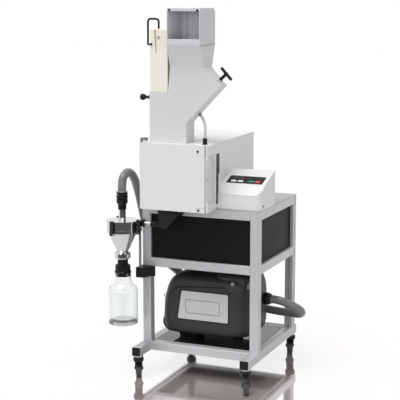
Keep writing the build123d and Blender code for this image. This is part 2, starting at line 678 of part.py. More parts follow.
sieve_seat_r = SIEVE_R + SIEVE_THICK + SEAT
door_top = HOUSING_TOP
door_bottom = DECK_TOP - DOOR_BOTTOM_GAP
with BuildPart() as chamber_housing:
    box_between((HOUSING_LEFT, HOUSING_RIGHT), (CHAMBER_FRONT, CHAMBER_BACK), (DECK_TOP, HOUSING_TOP))
    with BuildSketch(front_plane(CHAMBER_FRONT)):
        with Locations((ROTOR_X, ROTOR_Z)):
            Circle(BORE_R)
    extrude(amount=-BORE_DEPTH, mode=Mode.SUBTRACT)
    with BuildSketch(front_plane(CHAMBER_FRONT)):
        with Locations((ROTOR_X, ROTOR_Z)):
            Circle(sieve_seat_r)
        with Locations((ROTOR_X, ROTOR_Z + sieve_seat_r)):
            Rectangle(2 * sieve_seat_r, 2 * sieve_seat_r, mode=Mode.SUBTRACT)
    extrude(amount=-BORE_DEPTH, mode=Mode.SUBTRACT)
    extrude(bar_sketch(front_plane(CHAMBER_FRONT), SEAT), amount=-BORE_DEPTH, mode=Mode.SUBTRACT)
    outlet_y = (CHAMBER_FRONT + OUTLET_INSET, CHAMBER_FRONT + OUTLET_INSET + OUTLET_LENGTH)
    outlet_x = (ROTOR_X - OUTLET_WIDTH / 2, ROTOR_X + OUTLET_WIDTH / 2)
    box_between(outlet_x, outlet_y, (DECK_TOP, ROTOR_Z - INLET_RISE), Mode.SUBTRACT)
    with BuildSketch(front_plane(HOPPER_FRONT + SHEET)):
        with BuildLine():
            Polyline(
                (ROTOR_X - INLET_TOP / 2, HOUSING_TOP),
                (ROTOR_X + INLET_TOP / 2, HOUSING_TOP),
                (ROTOR_X + INLET_BOTTOM / 2, ROTOR_Z + INLET_RISE),
                (ROTOR_X - INLET_BOTTOM / 2, ROTOR_Z + INLET_RISE),
                close=True,
            )
        make_face()
    extrude(amount=-(CHAMBER_FRONT + BORE_DEPTH - HOPPER_FRONT - SHEET), mode=Mode.SUBTRACT)
    with BuildSketch(front_plane(CHAMBER_FRONT + BORE_DEPTH)):
        with Locations((ROTOR_X, ROTOR_Z)):
            Circle(SHAFT_R + RUN)
    extrude(amount=-(CHAMBER_DEPTH - BORE_DEPTH), mode=Mode.SUBTRACT)
    with BuildSketch(Plane.XY.offset(SIDE_RECESS_Z[0])):
        with BuildLine():
            recess_corner = (HOUSING_RIGHT - SIDE_RECESS, CHAMBER_FRONT + SIDE_RECESS_LENGTH / 2)
            recess_end = (HOUSING_RIGHT, CHAMBER_FRONT + SIDE_RECESS_LENGTH)
            Line((HOUSING_RIGHT, CHAMBER_FRONT), (HOUSING_RIGHT - SIDE_RECESS, CHAMBER_FRONT))
            Line((HOUSING_RIGHT - SIDE_RECESS, CHAMBER_FRONT), recess_corner)
            TangentArc(recess_corner, recess_end, tangent=(0, 1))
            Line(recess_end, (HOUSING_RIGHT, CHAMBER_FRONT))
        make_face()
    extrude(amount=SIDE_RECESS_Z[1] - SIDE_RECESS_Z[0], mode=Mode.SUBTRACT)
    strip_y = (CHAMBER_FRONT + STRIP_Y[0], CHAMBER_FRONT + STRIP_Y[1])
    box_between((HOUSING_RIGHT - STRIP_RECESS, HOUSING_RIGHT), strip_y, STRIP_Z, Mode.SUBTRACT)
    with BuildSketch(Plane((LATCH_X, LATCH_Y, HOUSING_TOP))):
        Circle(LATCH_BOSS_R)
    extrude(amount=LATCH_BOSS)
    with BuildSketch(Plane((LATCH_X, LATCH_Y, HOUSING_TOP + LATCH_BOSS))):
        Circle(LATCH_PIN_R)
    extrude(amount=LATCH_THICK)
keep(chamber_housing, "chamber_housing")

with BuildPart() as rear_housing:
    cover_x = (HOUSING_LEFT, HOUSING_RIGHT)
    box_between(cover_x, (CHAMBER_BACK + SEAT, HOUSING_BACK), (DECK_TOP, HOUSING_TOP))
    box_between(
        (HOUSING_LEFT + COVER_WALL, HOUSING_RIGHT - COVER_WALL),
        (CHAMBER_BACK, HOUSING_BACK - COVER_WALL),
        (DECK_TOP, HOUSING_TOP - COVER_WALL),
        Mode.SUBTRACT,
    )
keep(rear_housing, "rear_housing")

rotor_back = CHAMBER_FRONT + BORE_DEPTH - ROTOR_BACK_GAP
rotor_front = rotor_back - ROTOR_LENGTH
coupling_front = CHAMBER_BACK + SLIP


def disc_fronts():
    """Front face of each rotor disc and the angle of its first pocket."""
    return [(rotor_front + i * DISC_PITCH, i * DISC_TWIST) for i in range(DISC_COUNT)]


def around_disc(angle):
    return PolarLocations(TIP_CIRCLE_R - TIP_LENGTH / 2, TIPS_PER_DISC, start_angle=angle)


with BuildPart() as rotor:
    with BuildSketch(front_plane(rotor_front)):
        with Locations((ROTOR_X, ROTOR_Z)):
            Circle(HUB_RADIUS)
    extrude(amount=-ROTOR_LENGTH)
    for disc_y, angle in disc_fronts():
        with BuildSketch(front_plane(disc_y)):
            with Locations((ROTOR_X, ROTOR_Z)):
                Circle(DISC_R)
                with around_disc(angle):
                    with Locations((0, POCKET_WIDTH / 2)):
                        Rectangle(TIP_LENGTH, POCKET_WIDTH, mode=Mode.SUBTRACT)
        extrude(amount=-DISC_THICK)
    with BuildSketch(front_plane(rotor_back)):
        with Locations((ROTOR_X, ROTOR_Z)):
            Circle(SHAFT_R)
    extrude(amount=-(coupling_front - rotor_back))
    with BuildSketch(front_plane(coupling_front)):
        with Locations((ROTOR_X, ROTOR_Z)):
            Circle(COUPLING_R)
    extrude(amount=-COUPLING_THICK)
keep(rotor, "rotor")

with BuildPart() as cutting_tips:
    for disc_y, angle in disc_fronts():
        with BuildSketch(front_plane(disc_y)):
            with Locations((ROTOR_X, ROTOR_Z)):
                with around_disc(angle):
                    with Locations((0, TIP_THICK / 2)):
                        Rectangle(TIP_LENGTH, TIP_THICK)
        extrude(amount=-DISC_THICK)
keep(cutting_tips, "cutting_tips")

with BuildPart() as cutting_bars:
    extrude(bar_sketch(front_plane(CHAMBER_FRONT + SEAT), 0), amount=-(BORE_DEPTH - SEAT))
keep(cutting_bars, "cutting_bars")

sieve_length = BORE_DEPTH - 2 * SEAT
with BuildPart() as bottom_sieve:
    with BuildSketch(front_plane(CHAMBER_FRONT + SEAT)):
        with Locations((ROTOR_X, ROTOR_Z)):
            Circle(SIEVE_R + SIEVE_THICK)
            Circle(SIEVE_R, mode=Mode.SUBTRACT)
        with Locations((ROTOR_X, ROTOR_Z - SEAT + sieve_seat_r)):
            Rectangle(2 * sieve_seat_r, 2 * sieve_seat_r, mode=Mode.SUBTRACT)
    extrude(amount=-sieve_length)
    for column in range(SIEVE_COLUMNS):
        turn = math.radians(180.0 * (column + 1) / (SIEVE_COLUMNS + 1) + 180.0)
        out = Vector(math.cos(turn), 0, math.sin(turn))
        middle = Vector(ROTOR_X, CHAMBER_FRONT + BORE_DEPTH / 2, ROTOR_Z)
        hole_plane = Plane(origin=middle + out * (SIEVE_R - SIEVE_THICK), x_dir=(0, 1, 0), z_dir=out)
        with BuildSketch(hole_plane):
            with GridLocations(sieve_length / (SIEVE_ROWS + 1), 0, SIEVE_ROWS, 1):
                Rectangle(SIEVE_HOLE, SIEVE_HOLE)
        extrude(amount=3 * SIEVE_THICK, mode=Mode.SUBTRACT)
keep(bottom_sieve, "bottom_sieve")

motor_front = coupling_front + COUPLING_THICK + SLIP
with BuildPart() as drive_motor:
    with BuildSketch(front_plane(motor_front)):
        with Locations((ROTOR_X, ROTOR_Z)):
            Circle(MOTOR_R)
    extrude(amount=-MOTOR_LENGTH)
    motor_middle = motor_front + MOTOR_LENGTH / 2
    foot_x = (ROTOR_X - MOTOR_FOOT[0] / 2, ROTOR_X + MOTOR_FOOT[0] / 2)
    foot_y = (motor_middle - MOTOR_FOOT[1] / 2, motor_middle + MOTOR_FOOT[1] / 2)
    box_between(foot_x, foot_y, (DECK_TOP, ROTOR_Z - MOTOR_R / 2))
    terminal_x = (ROTOR_X - MOTOR_BOX[0] / 2, ROTOR_X + MOTOR_BOX[0] / 2)
    terminal_y = (motor_middle - MOTOR_BOX[1] / 2, motor_middle + MOTOR_BOX[1] / 2)
    box_between(terminal_x, terminal_y, (ROTOR_Z, ROTOR_Z + MOTOR_R + MOTOR_BOX[2]))
keep(drive_motor, "drive_motor")


# Door

door_right = HOUSING_RIGHT - SIDE_RECESS
door_left = door_right - DOOR_WIDTH
door_back = CHAMBER_FRONT - SEAT
door_front = door_back - DOOR_THICK
top_block_z = HOUSING_TOP - HINGE_TOP_BLOCK
bottom_block_z = DECK_TOP + HINGE_BOTTOM_BLOCK
ears = (top_block_z - SLIP - EAR_HEIGHT, bottom_block_z + SLIP)

with BuildPart() as front_door:
    box_between((door_left, door_right), (door_front, door_back), (door_bottom, door_top))
    with BuildSketch(Plane((door_left - DOOR_GRIP_R / 3, (door_front + door_back) / 2, door_bottom))):
        Circle(DOOR_GRIP_R)
    extrude(amount=door_top - door_bottom)
    with BuildSketch(front_plane(door_back)):
        with Locations((ROTOR_X, ROTOR_Z)):
            Circle(DOOR_BOSS_R)
    extrude(amount=-DOOR_BOSS)
    for ear_z in ears:
        with BuildSketch(Plane.XY.offset(ear_z)):
            with Locations((HINGE_X, HINGE_Y)):
                Circle(KNUCKLE_R)
            with Locations(((door_right + HINGE_X) / 2, HINGE_Y)):
                Rectangle(HINGE_X - door_right, 2 * KNUCKLE_R)
            with Locations((HINGE_X, HINGE_Y)):
                Circle(HINGE_PIN_R + RUN, mode=Mode.SUBTRACT)
        extrude(amount=EAR_HEIGHT)
keep(front_door, "front_door")

leaf_back = CHAMBER_FRONT + HINGE_LEAF_LENGTH
with BuildPart() as door_hinges:
    for block_z, height, ear_z in (
        (top_block_z, HINGE_TOP_BLOCK, ears[0]),
        (DECK_TOP, HINGE_BOTTOM_BLOCK, DECK_TOP),
    ):
        with BuildSketch(Plane.XY.offset(block_z)):
            with Locations((HINGE_X, HINGE_Y)):
                Circle(KNUCKLE_R)
            leaf_x = HOUSING_RIGHT + HINGE_LEAF / 2
            with Locations((leaf_x, (HINGE_Y + leaf_back) / 2)):
                Rectangle(HINGE_LEAF, leaf_back - HINGE_Y)
            arm_left = HINGE_X - KNUCKLE_R
            arm_right = HOUSING_RIGHT + HINGE_LEAF
            with Locations(((arm_left + arm_right) / 2, (HINGE_Y + CHAMBER_FRONT) / 2)):
                Rectangle(arm_right - arm_left, CHAMBER_FRONT - HINGE_Y - 2 * KNUCKLE_R + KNUCKLE_R * 1.4)
        extrude(amount=height)
        with BuildSketch(Plane((HINGE_X, HINGE_Y, ear_z))):
            Circle(HINGE_PIN_R)
        extrude(amount=height + EAR_HEIGHT + SLIP)
keep(door_hinges, "door_hinges")

latch_z = HOUSING_TOP + LATCH_BOSS + LIFT
with BuildPart() as door_latch:
    with BuildSketch(Plane((LATCH_X, LATCH_Y, latch_z))):
        Circle(LATCH_BOSS_R)
        with Locations(LATCH_REACH):
            Circle(LATCH_END_R)
        make_hull()
        Circle(LATCH_PIN_R + RUN, mode=Mode.SUBTRACT)
    extrude(amount=LATCH_THICK)
    with BuildSketch(Plane((LATCH_X + LATCH_REACH[0], LATCH_Y + LATCH_REACH[1], door_top + SLIP))):
        Circle(LATCH_END_R)
    extrude(amount=latch_z - door_top - SLIP)
keep(door_latch, "door_latch")


# Outlet

funnel_x = ROTOR_X
funnel_y = CHAMBER_FRONT + OUTLET_INSET + OUTLET_LENGTH / 2
funnel_foot_x = funnel_x + FUNNEL_FOOT_SHIFT
flange_bottom = DECK_TOP - FLANGE_THICK


def funnel_loft(wall, mode=Mode.ADD):
    """The funnel's slanting part, drawn in by the wall on each side."""
    with BuildSketch(Plane((funnel_x, funnel_y, FUNNEL_TOP_Z))) as mouth:
        Rectangle(FUNNEL_MOUTH[0] - 2 * wall, FUNNEL_MOUTH[1] - 2 * wall)
    with BuildSketch(Plane((funnel_foot_x, funnel_y, FUNNEL_BOTTOM_Z))) as foot:
        Rectangle(FUNNEL_FOOT[0] - 2 * wall, FUNNEL_FOOT[1] - 2 * wall)
    loft([mouth.sketch, foot.sketch], mode=mode)


stub_left = ROTOR_X + STUB_END
with BuildPart() as outlet_funnel:
    with BuildSketch(Plane((funnel_x, funnel_y, flange_bottom))):
        Rectangle(*FLANGE_SIZE)
    extrude(amount=FLANGE_THICK)
    with BuildSketch(Plane((funnel_x, funnel_y, FUNNEL_TOP_Z))):
        Rectangle(*FUNNEL_MOUTH)
    extrude(amount=flange_bottom - FUNNEL_TOP_Z)
    funnel_loft(0)
    with BuildSketch(Plane((funnel_foot_x, funnel_y, FUNNEL_BOTTOM_Z - FUNNEL_WALL))):
        Rectangle(*FUNNEL_FOOT)
    extrude(amount=FUNNEL_WALL)
    with BuildSketch(along_x(stub_left, funnel_y, PIPE_Z)):
        Circle(STUB_R)
    extrude(amount=funnel_foot_x - stub_left)
    with BuildSketch(Plane((funnel_x, funnel_y, FUNNEL_TOP_Z))):
        Rectangle(FUNNEL_MOUTH[0] - 2 * FUNNEL_WALL, FUNNEL_MOUTH[1] - 2 * FUNNEL_WALL)
    extrude(amount=DECK_TOP - FUNNEL_TOP_Z, mode=Mode.SUBTRACT)
    funnel_loft(FUNNEL_WALL, Mode.SUBTRACT)
    with BuildSketch(along_x(stub_left, funnel_y, PIPE_Z)):
        Circle(PIPE_R + SEAT)
    extrude(amount=funnel_foot_x - stub_left, mode=Mode.SUBTRACT)
keep(outlet_funnel, "outlet_funnel")

with BuildPart() as outlet_pipe:
    with BuildSketch(along_x(CYCLONE_X + INLET_STUB + SEAT, funnel_y, PIPE_Z)):
        Circle(PIPE_R)
        Circle(PIPE_R - PIPE_WALL, mode=Mode.SUBTRACT)
    extrude(amount=stub_left + PIPE_R - CYCLONE_X - INLET_STUB)
    with BuildSketch(along_x(CYCLONE_X + COLLAR_START, funnel_y, PIPE_Z)):
        Circle(COLLAR_R)
        Circle(PIPE_R, mode=Mode.SUBTRACT)
    extrude(amount=COLLAR_LENGTH)
keep(outlet_pipe, "outlet_pipe")


# Control box

bend_y = CONTROL_FRONT + CONTROL_BEND[0]
bend_z = DECK_TOP + CONTROL_BEND[1]
top_z = DECK_TOP + CONTROL_HEIGHT
slope = Vector(0, CONTROL_BACK - bend_y, top_z - bend_z).normalized()
slope_plane = Plane(
    origin=(FRAME_X, bend_y, bend_z), x_dir=(1, 0, 0), z_dir=Vector(1, 0, 0).cross(slope)
)
panel_local = (PANEL_X - FRAME_X, PANEL_UP)

with BuildPart() as control_box:
    with BuildSketch(Plane.YZ.offset(CONTROL_LEFT)):
        with BuildLine():
            Polyline(
                (CONTROL_FRONT, DECK_TOP),
                (CONTROL_FRONT, DECK_TOP + CONTROL_LIP),
                (bend_y, bend_z),
                (CONTROL_BACK, top_z),
                (CONTROL_BACK, DECK_TOP),
                close=True,
            )
        make_face()
    extrude(amount=CONTROL_RIGHT - CONTROL_LEFT)
    front_corner = control_box.edges().filter_by(Axis.Z).group_by(Axis.Y)[0].sort_by(Axis.X)[-1]
    fillet(front_corner, CONTROL_CORNER)
    with BuildSketch(slope_plane):
        with Locations(panel_local):
            RectangleRounded(PANEL_SIZE[0] + 2 * SEAT, PANEL_SIZE[1] + 2 * SEAT, KEY_CORNER)
    extrude(amount=-PANEL_RECESS, mode=Mode.SUBTRACT)
    with BuildSketch(slope_plane):
        with Locations([(x, KEY_UP) for x in KEY_XS.values()]):
            Rectangle(KEY_SIZE[0] + 2 * KEY_GAP, KEY_SIZE[1] + 2 * KEY_GAP)
    extrude(amount=-KEY_POCKET, mode=Mode.SUBTRACT)
keep(control_box, "control_box")

with BuildPart() as key_panel:
    with BuildSketch(slope_plane.offset(-PANEL_RECESS)):
        with Locations(panel_local):
            RectangleRounded(*PANEL_SIZE, KEY_CORNER)
        with Locations([(x, KEY_UP) for x in KEY_XS.values()]):
            Rectangle(KEY_SIZE[0] + 2 * KEY_GAP, KEY_SIZE[1] + 2 * KEY_GAP, mode=Mode.SUBTRACT)
    extrude(amount=PANEL_FOIL)
    with BuildSketch(slope_plane.offset(-PANEL_RECESS)):
        with Locations([(x, LAMP_UP) for x in LAMP_XS]):
            Circle(LAMP_R)
    extrude(amount=2 * PANEL_FOIL)
keep(key_panel, "key_panel")

key_top = PANEL_FOIL - PANEL_RECESS + KEY_PROUD
for label, x in KEY_XS.items():
    with BuildPart() as key:
        with BuildSketch(slope_plane.offset(key_top - KEY_THICK)):
            with Locations((x, KEY_UP)):
                RectangleRounded(*KEY_SIZE, KEY_CORNER)
        extrude(amount=KEY_THICK)
    keep(key, label)


# Hopper

hopper_back = HOPPER_FRONT + HOPPER_DEPTH
hopper_bottom = HOUSING_TOP + LIFT
shaft_right = CHANNEL_LEFT + PLUNGER_SHAFT
hopper_mid_y = HOPPER_FRONT + HOPPER_DEPTH / 2
hood_mid_y = (HOOD_Y[0] + HOOD_Y[1]) / 2
channel_mid = (CHANNEL_LEFT + CHANNEL_RIGHT) / 2
slope_top = Vector(CHUTE_X[1], hopper_mid_y, CHUTE_Z)
elbow_point = Vector(ELBOW[0], hopper_mid_y, ELBOW[1])
t_along = (elbow_point - slope_top).normalized()
t_out = Vector(0, 1, 0).cross(t_along) * -1
t_foot = slope_top + t_along * T_ALONG


def chute_loft(wall, mode=Mode.ADD):
    """The chute's taper between the body and the hood, drawn in by the wall on each side."""
    with BuildSketch(Plane(((CHUTE_X[0] + CHUTE_X[1]) / 2, hopper_mid_y, CHUTE_Z))) as foot:
        Rectangle(CHUTE_X[1] - CHUTE_X[0] - 2 * wall, HOPPER_DEPTH - 2 * wall)
    with BuildSketch(Plane(((HOOD_X[0] + HOOD_X[1]) / 2, hood_mid_y, HOOD_Z[0]))) as mouth:
        Rectangle(HOOD_X[1] - HOOD_X[0] - 2 * wall, HOOD_Y[1] - HOOD_Y[0] - 2 * wall)
    loft([foot.sketch, mouth.sketch], mode=mode)


def outline(plane, points):
    """A face with straight sides on the given plane."""
    with BuildSketch(plane) as face:
        with BuildLine():
            Polyline(*points, close=True)
        make_face()
    return face.sketch


with BuildPart() as hopper_body:
    face = outline(front_plane(HOPPER_FRONT), [
        (CHANNEL_LEFT, hopper_bottom),
        (CHANNEL_LEFT, CHANNEL_TOP),
        (shaft_right, CHANNEL_TOP),
        (CHUTE_X[0], CHUTE_Z),
        (CHUTE_X[1], CHUTE_Z),
        ELBOW,
        (CHANNEL_RIGHT, BELLY_Z),
        (CHANNEL_RIGHT, hopper_bottom),
    ])
    extrude(face, amount=-HOPPER_DEPTH)
    chute_loft(0)
    face = outline(front_plane(HOPPER_FRONT + SHEET), [
        (CHANNEL_LEFT + SHEET, hopper_bottom),
        (CHANNEL_LEFT + SHEET, CHANNEL_TOP),
        (shaft_right - SHEET, CHANNEL_TOP),
        (shaft_right - SHEET, CHANNEL_TOP - 3 * SHEET),
        (shaft_right + SHEET, CHANNEL_TOP - SHEET),
        (CHUTE_X[0] + SHEET, CHUTE_Z),
        (CHUTE_X[1] - SHEET, CHUTE_Z),
        (ELBOW[0] - 1.5 * SHEET, ELBOW[1]),
        (CHANNEL_RIGHT - SHEET, BELLY_Z + SHEET),
        (CHANNEL_RIGHT - SHEET, hopper_bottom),
    ])
    extrude(face, amount=-(HOPPER_DEPTH - 2 * SHEET), mode=Mode.SUBTRACT)
    chute_loft(SHEET, Mode.SUBTRACT)
    for x in (channel_mid - LUG_SPREAD / 2, channel_mid + LUG_SPREAD / 2):
        with BuildSketch(Plane.YZ.offset(x - LUG_WIDTH / 2)):
            with Locations((TILT_Y, TILT_Z)):
                Circle(TILT_LUG_R)
            with Locations(((TILT_Y + hopper_back) / 2, TILT_Z)):
                Rectangle(TILT_Y - hopper_back, 2 * TILT_LUG_R)
            with Locations((TILT_Y, TILT_Z)):
                Circle(TILT_PIN_R + RUN, mode=Mode.SUBTRACT)
        extrude(amount=LUG_WIDTH)
    with BuildSketch(Plane(origin=(CHANNEL_LEFT, hopper_mid_y, KNOB_Z), z_dir=(-1, 0, 0))):
        Circle(KNOB_BOSS_R)
    extrude(amount=KNOB_BOSS)
    with BuildSketch(Plane(origin=(CHANNEL_LEFT + SHEET, hopper_mid_y, KNOB_Z), z_dir=(-1, 0, 0))):
        Circle(KNOB_PIN_R + RUN)
    extrude(amount=KNOB_BOSS + SHEET, mode=Mode.SUBTRACT)
    with BuildSketch(Plane(origin=t_foot, z_dir=t_out)):
        Circle(T_BOSS_R)
    extrude(amount=T_BOSS)
    with BuildSketch(Plane(origin=t_foot, z_dir=t_out)):
        Circle(T_STEM_R + RUN)
    extrude(amount=T_BOSS, mode=Mode.SUBTRACT)
keep(hopper_body, "hopper_body")

with BuildPart() as feed_hood:
    hood_bottom = HOOD_Z[0] + SEAT
    box_between(HOOD_X, HOOD_Y, (hood_bottom, HOOD_Z[1]))
    top_back = feed_hood.edges().filter_by(Axis.X).group_by(Axis.Z)[-1].sort_by(Axis.Y)[-1]
    fillet(top_back, HOOD_ROUND)
    with BuildSketch(Plane.YZ.offset(HOOD_X[0] + SHEET)) as hood_inside:
        with Locations((hood_mid_y, (hood_bottom + HOOD_Z[1] - SHEET) / 2)):
            Rectangle(HOOD_Y[1] - HOOD_Y[0] - 2 * SHEET, HOOD_Z[1] - SHEET - hood_bottom)
        fillet(hood_inside.vertices().sort_by(Axis.Z)[-2:].sort_by(Axis.Y)[-1], HOOD_ROUND - SHEET)
    extrude(amount=HOOD_X[1] - HOOD_X[0] - 2 * SHEET, mode=Mode.SUBTRACT)
    opening_x = (HOOD_X[0] + 2 * SHEET, HOOD_X[1] - 2 * SHEET)
    box_between(opening_x, (HOOD_Y[0], HOOD_Y[0] + SHEET), HOOD_OPENING_Z, Mode.SUBTRACT)
keep(feed_hood, "feed_hood")

with BuildPart() as tilt_hinge:
    for x in (channel_mid - BLOCK_SPREAD / 2, channel_mid + BLOCK_SPREAD / 2):
        with BuildSketch(Plane.YZ.offset(x - BLOCK_WIDTH / 2)):
            with Locations((TILT_Y, TILT_Z)):
                Circle(TILT_LUG_R)
            with Locations((TILT_Y, (HOUSING_TOP + TILT_Z) / 2)):
                Rectangle(BLOCK_BASE, TILT_Z - HOUSING_TOP)
        extrude(amount=BLOCK_WIDTH)
    with BuildSketch(along_x(channel_mid - BLOCK_SPREAD / 2, TILT_Y, TILT_Z)):
        Circle(TILT_PIN_R)
    extrude(amount=BLOCK_SPREAD)
keep(tilt_hinge, "tilt_hinge")

plunger_x = (CHANNEL_LEFT + SHEET + SLIP, shaft_right - SHEET - SLIP)
plunger_y = (HOPPER_FRONT + SHEET + SLIP, hopper_back - SHEET - SLIP)
with BuildPart() as plunger:
    box_between(plunger_x, plunger_y, (PLUNGER_BOTTOM, PLUNGER_TOP))
keep(plunger, "plunger")

handle_top = PLUNGER_TOP + HANDLE_UP
handle_left = plunger_x[0] - HANDLE_OUT
with BuildPart() as plunger_handle:
    with BuildLine():
        FilletPolyline(
            (plunger_x[0] + HANDLE_IN, hopper_mid_y, PLUNGER_TOP),
            (plunger_x[0] + HANDLE_IN, hopper_mid_y, handle_top),
            (handle_left, hopper_mid_y, handle_top),
            (handle_left, hopper_mid_y, PLUNGER_TOP - HANDLE_DOWN),
            (plunger_x[0], hopper_mid_y, PLUNGER_TOP - HANDLE_DOWN),
            radius=HANDLE_BEND,
        )
    with BuildSketch(Plane((plunger_x[0] + HANDLE_IN, hopper_mid_y, PLUNGER_TOP))):
        Circle(HANDLE_R)
    sweep()
keep(plunger_handle, "plunger_handle")

ball_x = CHANNEL_LEFT - KNOB_REACH
ball_half = math.sqrt(KNOB_BALL_R**2 - KNOB_FLAT_R**2)
collar_x = (CHANNEL_LEFT - KNOB_BOSS - SEAT, CHANNEL_LEFT - KNOB_BOSS - SEAT - KNOB_REACH / 4)
with BuildPart() as lock_knob:
    with BuildSketch(front_plane(hopper_mid_y)):
        with BuildLine():
            Polyline(
                (ball_x - ball_half, KNOB_Z + KNOB_FLAT_R),
                (ball_x - ball_half, KNOB_Z),
                (CHANNEL_LEFT, KNOB_Z),
                (CHANNEL_LEFT, KNOB_Z + KNOB_PIN_R),
                (collar_x[0], KNOB_Z + KNOB_PIN_R),
                (collar_x[0], KNOB_Z + KNOB_COLLAR_R),
                (collar_x[1], KNOB_Z + KNOB_COLLAR_R),
                (collar_x[1], KNOB_Z + KNOB_FLAT_R),
                (ball_x + ball_half, KNOB_Z + KNOB_FLAT_R),
            )
            ThreePointArc(
                (ball_x + ball_half, KNOB_Z + KNOB_FLAT_R),
                (ball_x, KNOB_Z + KNOB_BALL_R),
                (ball_x - ball_half, KNOB_Z + KNOB_FLAT_R),
            )
        make_face()
    revolve(axis=Axis((ball_x, hopper_mid_y, KNOB_Z), (1, 0, 0)))
keep(lock_knob, "lock_knob")

bar_middle = t_foot + t_out * T_RISE
with BuildPart() as t_handle:
    with BuildSketch(Plane(origin=t_foot + t_out * SEAT, z_dir=t_out)):
        Circle(T_STEM_R)
    extrude(amount=T_RISE)
    with BuildSketch(Plane(origin=t_foot + t_out * (T_BOSS + SLIP), z_dir=t_out)):
        Circle(T_BOSS_R - 2)
    extrude(amount=T_BOSS_R)
    with BuildSketch(Plane(origin=bar_middle - t_along * (T_BAR_LENGTH / 2), z_dir=t_along)):
        Circle(T_BAR_R)
    extrude(amount=T_BAR_LENGTH)
    chamfer(t_handle.faces().filter_by(Plane(origin=bar_middle, z_dir=t_along)).edges(), 1.5)
keep(t_handle, "t_handle")

with BuildPart() as cable_gland:
    with BuildSketch(Plane((GLAND_X, GLAND_Y, HOUSING_TOP))):
        Circle(GLAND_R)
    extrude(amount=GLAND_HEIGHT)
    chamfer(cable_gland.edges().group_by(Axis.Z)[-1], 3)
keep(cable_gland, "cable_gland")


# Cyclone

def turned(points, hollow_points):
    """A turned part on the cyclone's axis, from radius and height pairs."""
    with BuildPart() as piece:
        with BuildSketch(front_plane(CYCLONE_Y)):
            with BuildLine():
                Polyline(*[(CYCLONE_X + r, z) for r, z in points], close=True)
            make_face()
            with BuildLine():
                Polyline(*[(CYCLONE_X + r, z) for r, z in hollow_points], close=True)
            make_face(mode=Mode.SUBTRACT)
        revolve(axis=Axis((CYCLONE_X, CYCLONE_Y, 0), (0, 0, 1)))
    return piece


outlet_r = CONE_FOOT_R - CYCLONE_WALL
cyclone_shell = turned(
    [(0, FERRULE_Z[0]), (FERRULE_R - 4, FERRULE_Z[0]), (FERRULE_R, FERRULE_Z[0] + 6),
     (FERRULE_R, FERRULE_Z[1] - 6), (FERRULE_R - 4, FERRULE_Z[1]), (CONE_FOOT_R, FERRULE_Z[1]),
     (CONE_FOOT_R, CONE_FOOT_Z), (BODY_R, BODY_BOTTOM), (BODY_R, BODY_TOP), (0, BODY_TOP)],
    [(0, FERRULE_Z[0]), (outlet_r, FERRULE_Z[0]), (outlet_r, CONE_FOOT_Z),
     (BODY_R - CYCLONE_WALL, BODY_BOTTOM), (BODY_R - CYCLONE_WALL, BODY_TOP), (0, BODY_TOP)],
)


def toggle_side(turn):
    """Plane through the cyclone's axis at this angle; its own axes are the radius and Z."""
    angle = math.radians(turn)
    radial = Vector(math.cos(angle), math.sin(angle), 0)
    return Plane(origin=(CYCLONE_X, CYCLONE_Y, 0), x_dir=radial, z_dir=radial.cross(Vector(0, 0, 1)))


lug_half = TOGGLE_WIDTH / 2 + SLIP
with BuildPart() as cyclone_body:
    add(cyclone_shell.part)
    with BuildSketch(along_x(CYCLONE_X, funnel_y, PIPE_Z)):
        Circle(PIPE_R - SEAT)
    extrude(amount=INLET_STUB)
    with BuildSketch(along_x(CYCLONE_X, funnel_y, PIPE_Z)):
        Circle(PIPE_R - PIPE_WALL - SEAT)
    extrude(amount=INLET_STUB, mode=Mode.SUBTRACT)
    with BuildSketch(Plane.XY.offset(BODY_BOTTOM + CYCLONE_WALL)):
        with Locations((CYCLONE_X, CYCLONE_Y)):
            Circle(BODY_R - CYCLONE_WALL)
    extrude(amount=BODY_TOP - BODY_BOTTOM - CYCLONE_WALL, mode=Mode.SUBTRACT)
    for turn in LATCH_TURNS:
        for start in (-lug_half - TOGGLE_LUG, lug_half):
            with BuildSketch(toggle_side(turn).offset(start)):
                with Locations(TOGGLE_PIVOT):
                    Circle(5.5)
                with Locations((TOGGLE_PIVOT[0] - 10, TOGGLE_PIVOT[1])):
                    Rectangle(20, 11)
                with Locations(TOGGLE_PIVOT):
                    Circle(TOGGLE_PIN_R + RUN, mode=Mode.SUBTRACT)
            extrude(amount=TOGGLE_LUG)
    with BuildSketch(Plane.XY.offset(SLEEVE_Z[0])):
        with Locations((ROD_X, ROD_Y)):
            Circle(SLEEVE_R)
        with Locations((CYCLONE_X, CYCLONE_Y)):
            Circle(BODY_R + COLLAR_OVERLAP)
            Circle(BODY_R - COLLAR_OVERLAP, mode=Mode.SUBTRACT)
        with BuildLine():
            arm_way = Vector(ROD_X - CYCLONE_X, ROD_Y - CYCLONE_Y).normalized()
            arm_across = Vector(-arm_way.Y, arm_way.X) * ARM_WIDTH / 2
            arm_start = Vector(CYCLONE_X, CYCLONE_Y) + arm_way * (BODY_R - COLLAR_OVERLAP)
            arm_end = Vector(ROD_X, ROD_Y)
            Polyline(arm_start + arm_across, arm_end + arm_across, arm_end - arm_across,
                     arm_start - arm_across, close=True)
        make_face()
        with Locations((ROD_X, ROD_Y)):
            Circle(ROD_R + SEAT, mode=Mode.SUBTRACT)
    extrude(amount=SLEEVE_Z[1] - SLEEVE_Z[0])
keep(cyclone_body, "cyclone_body")

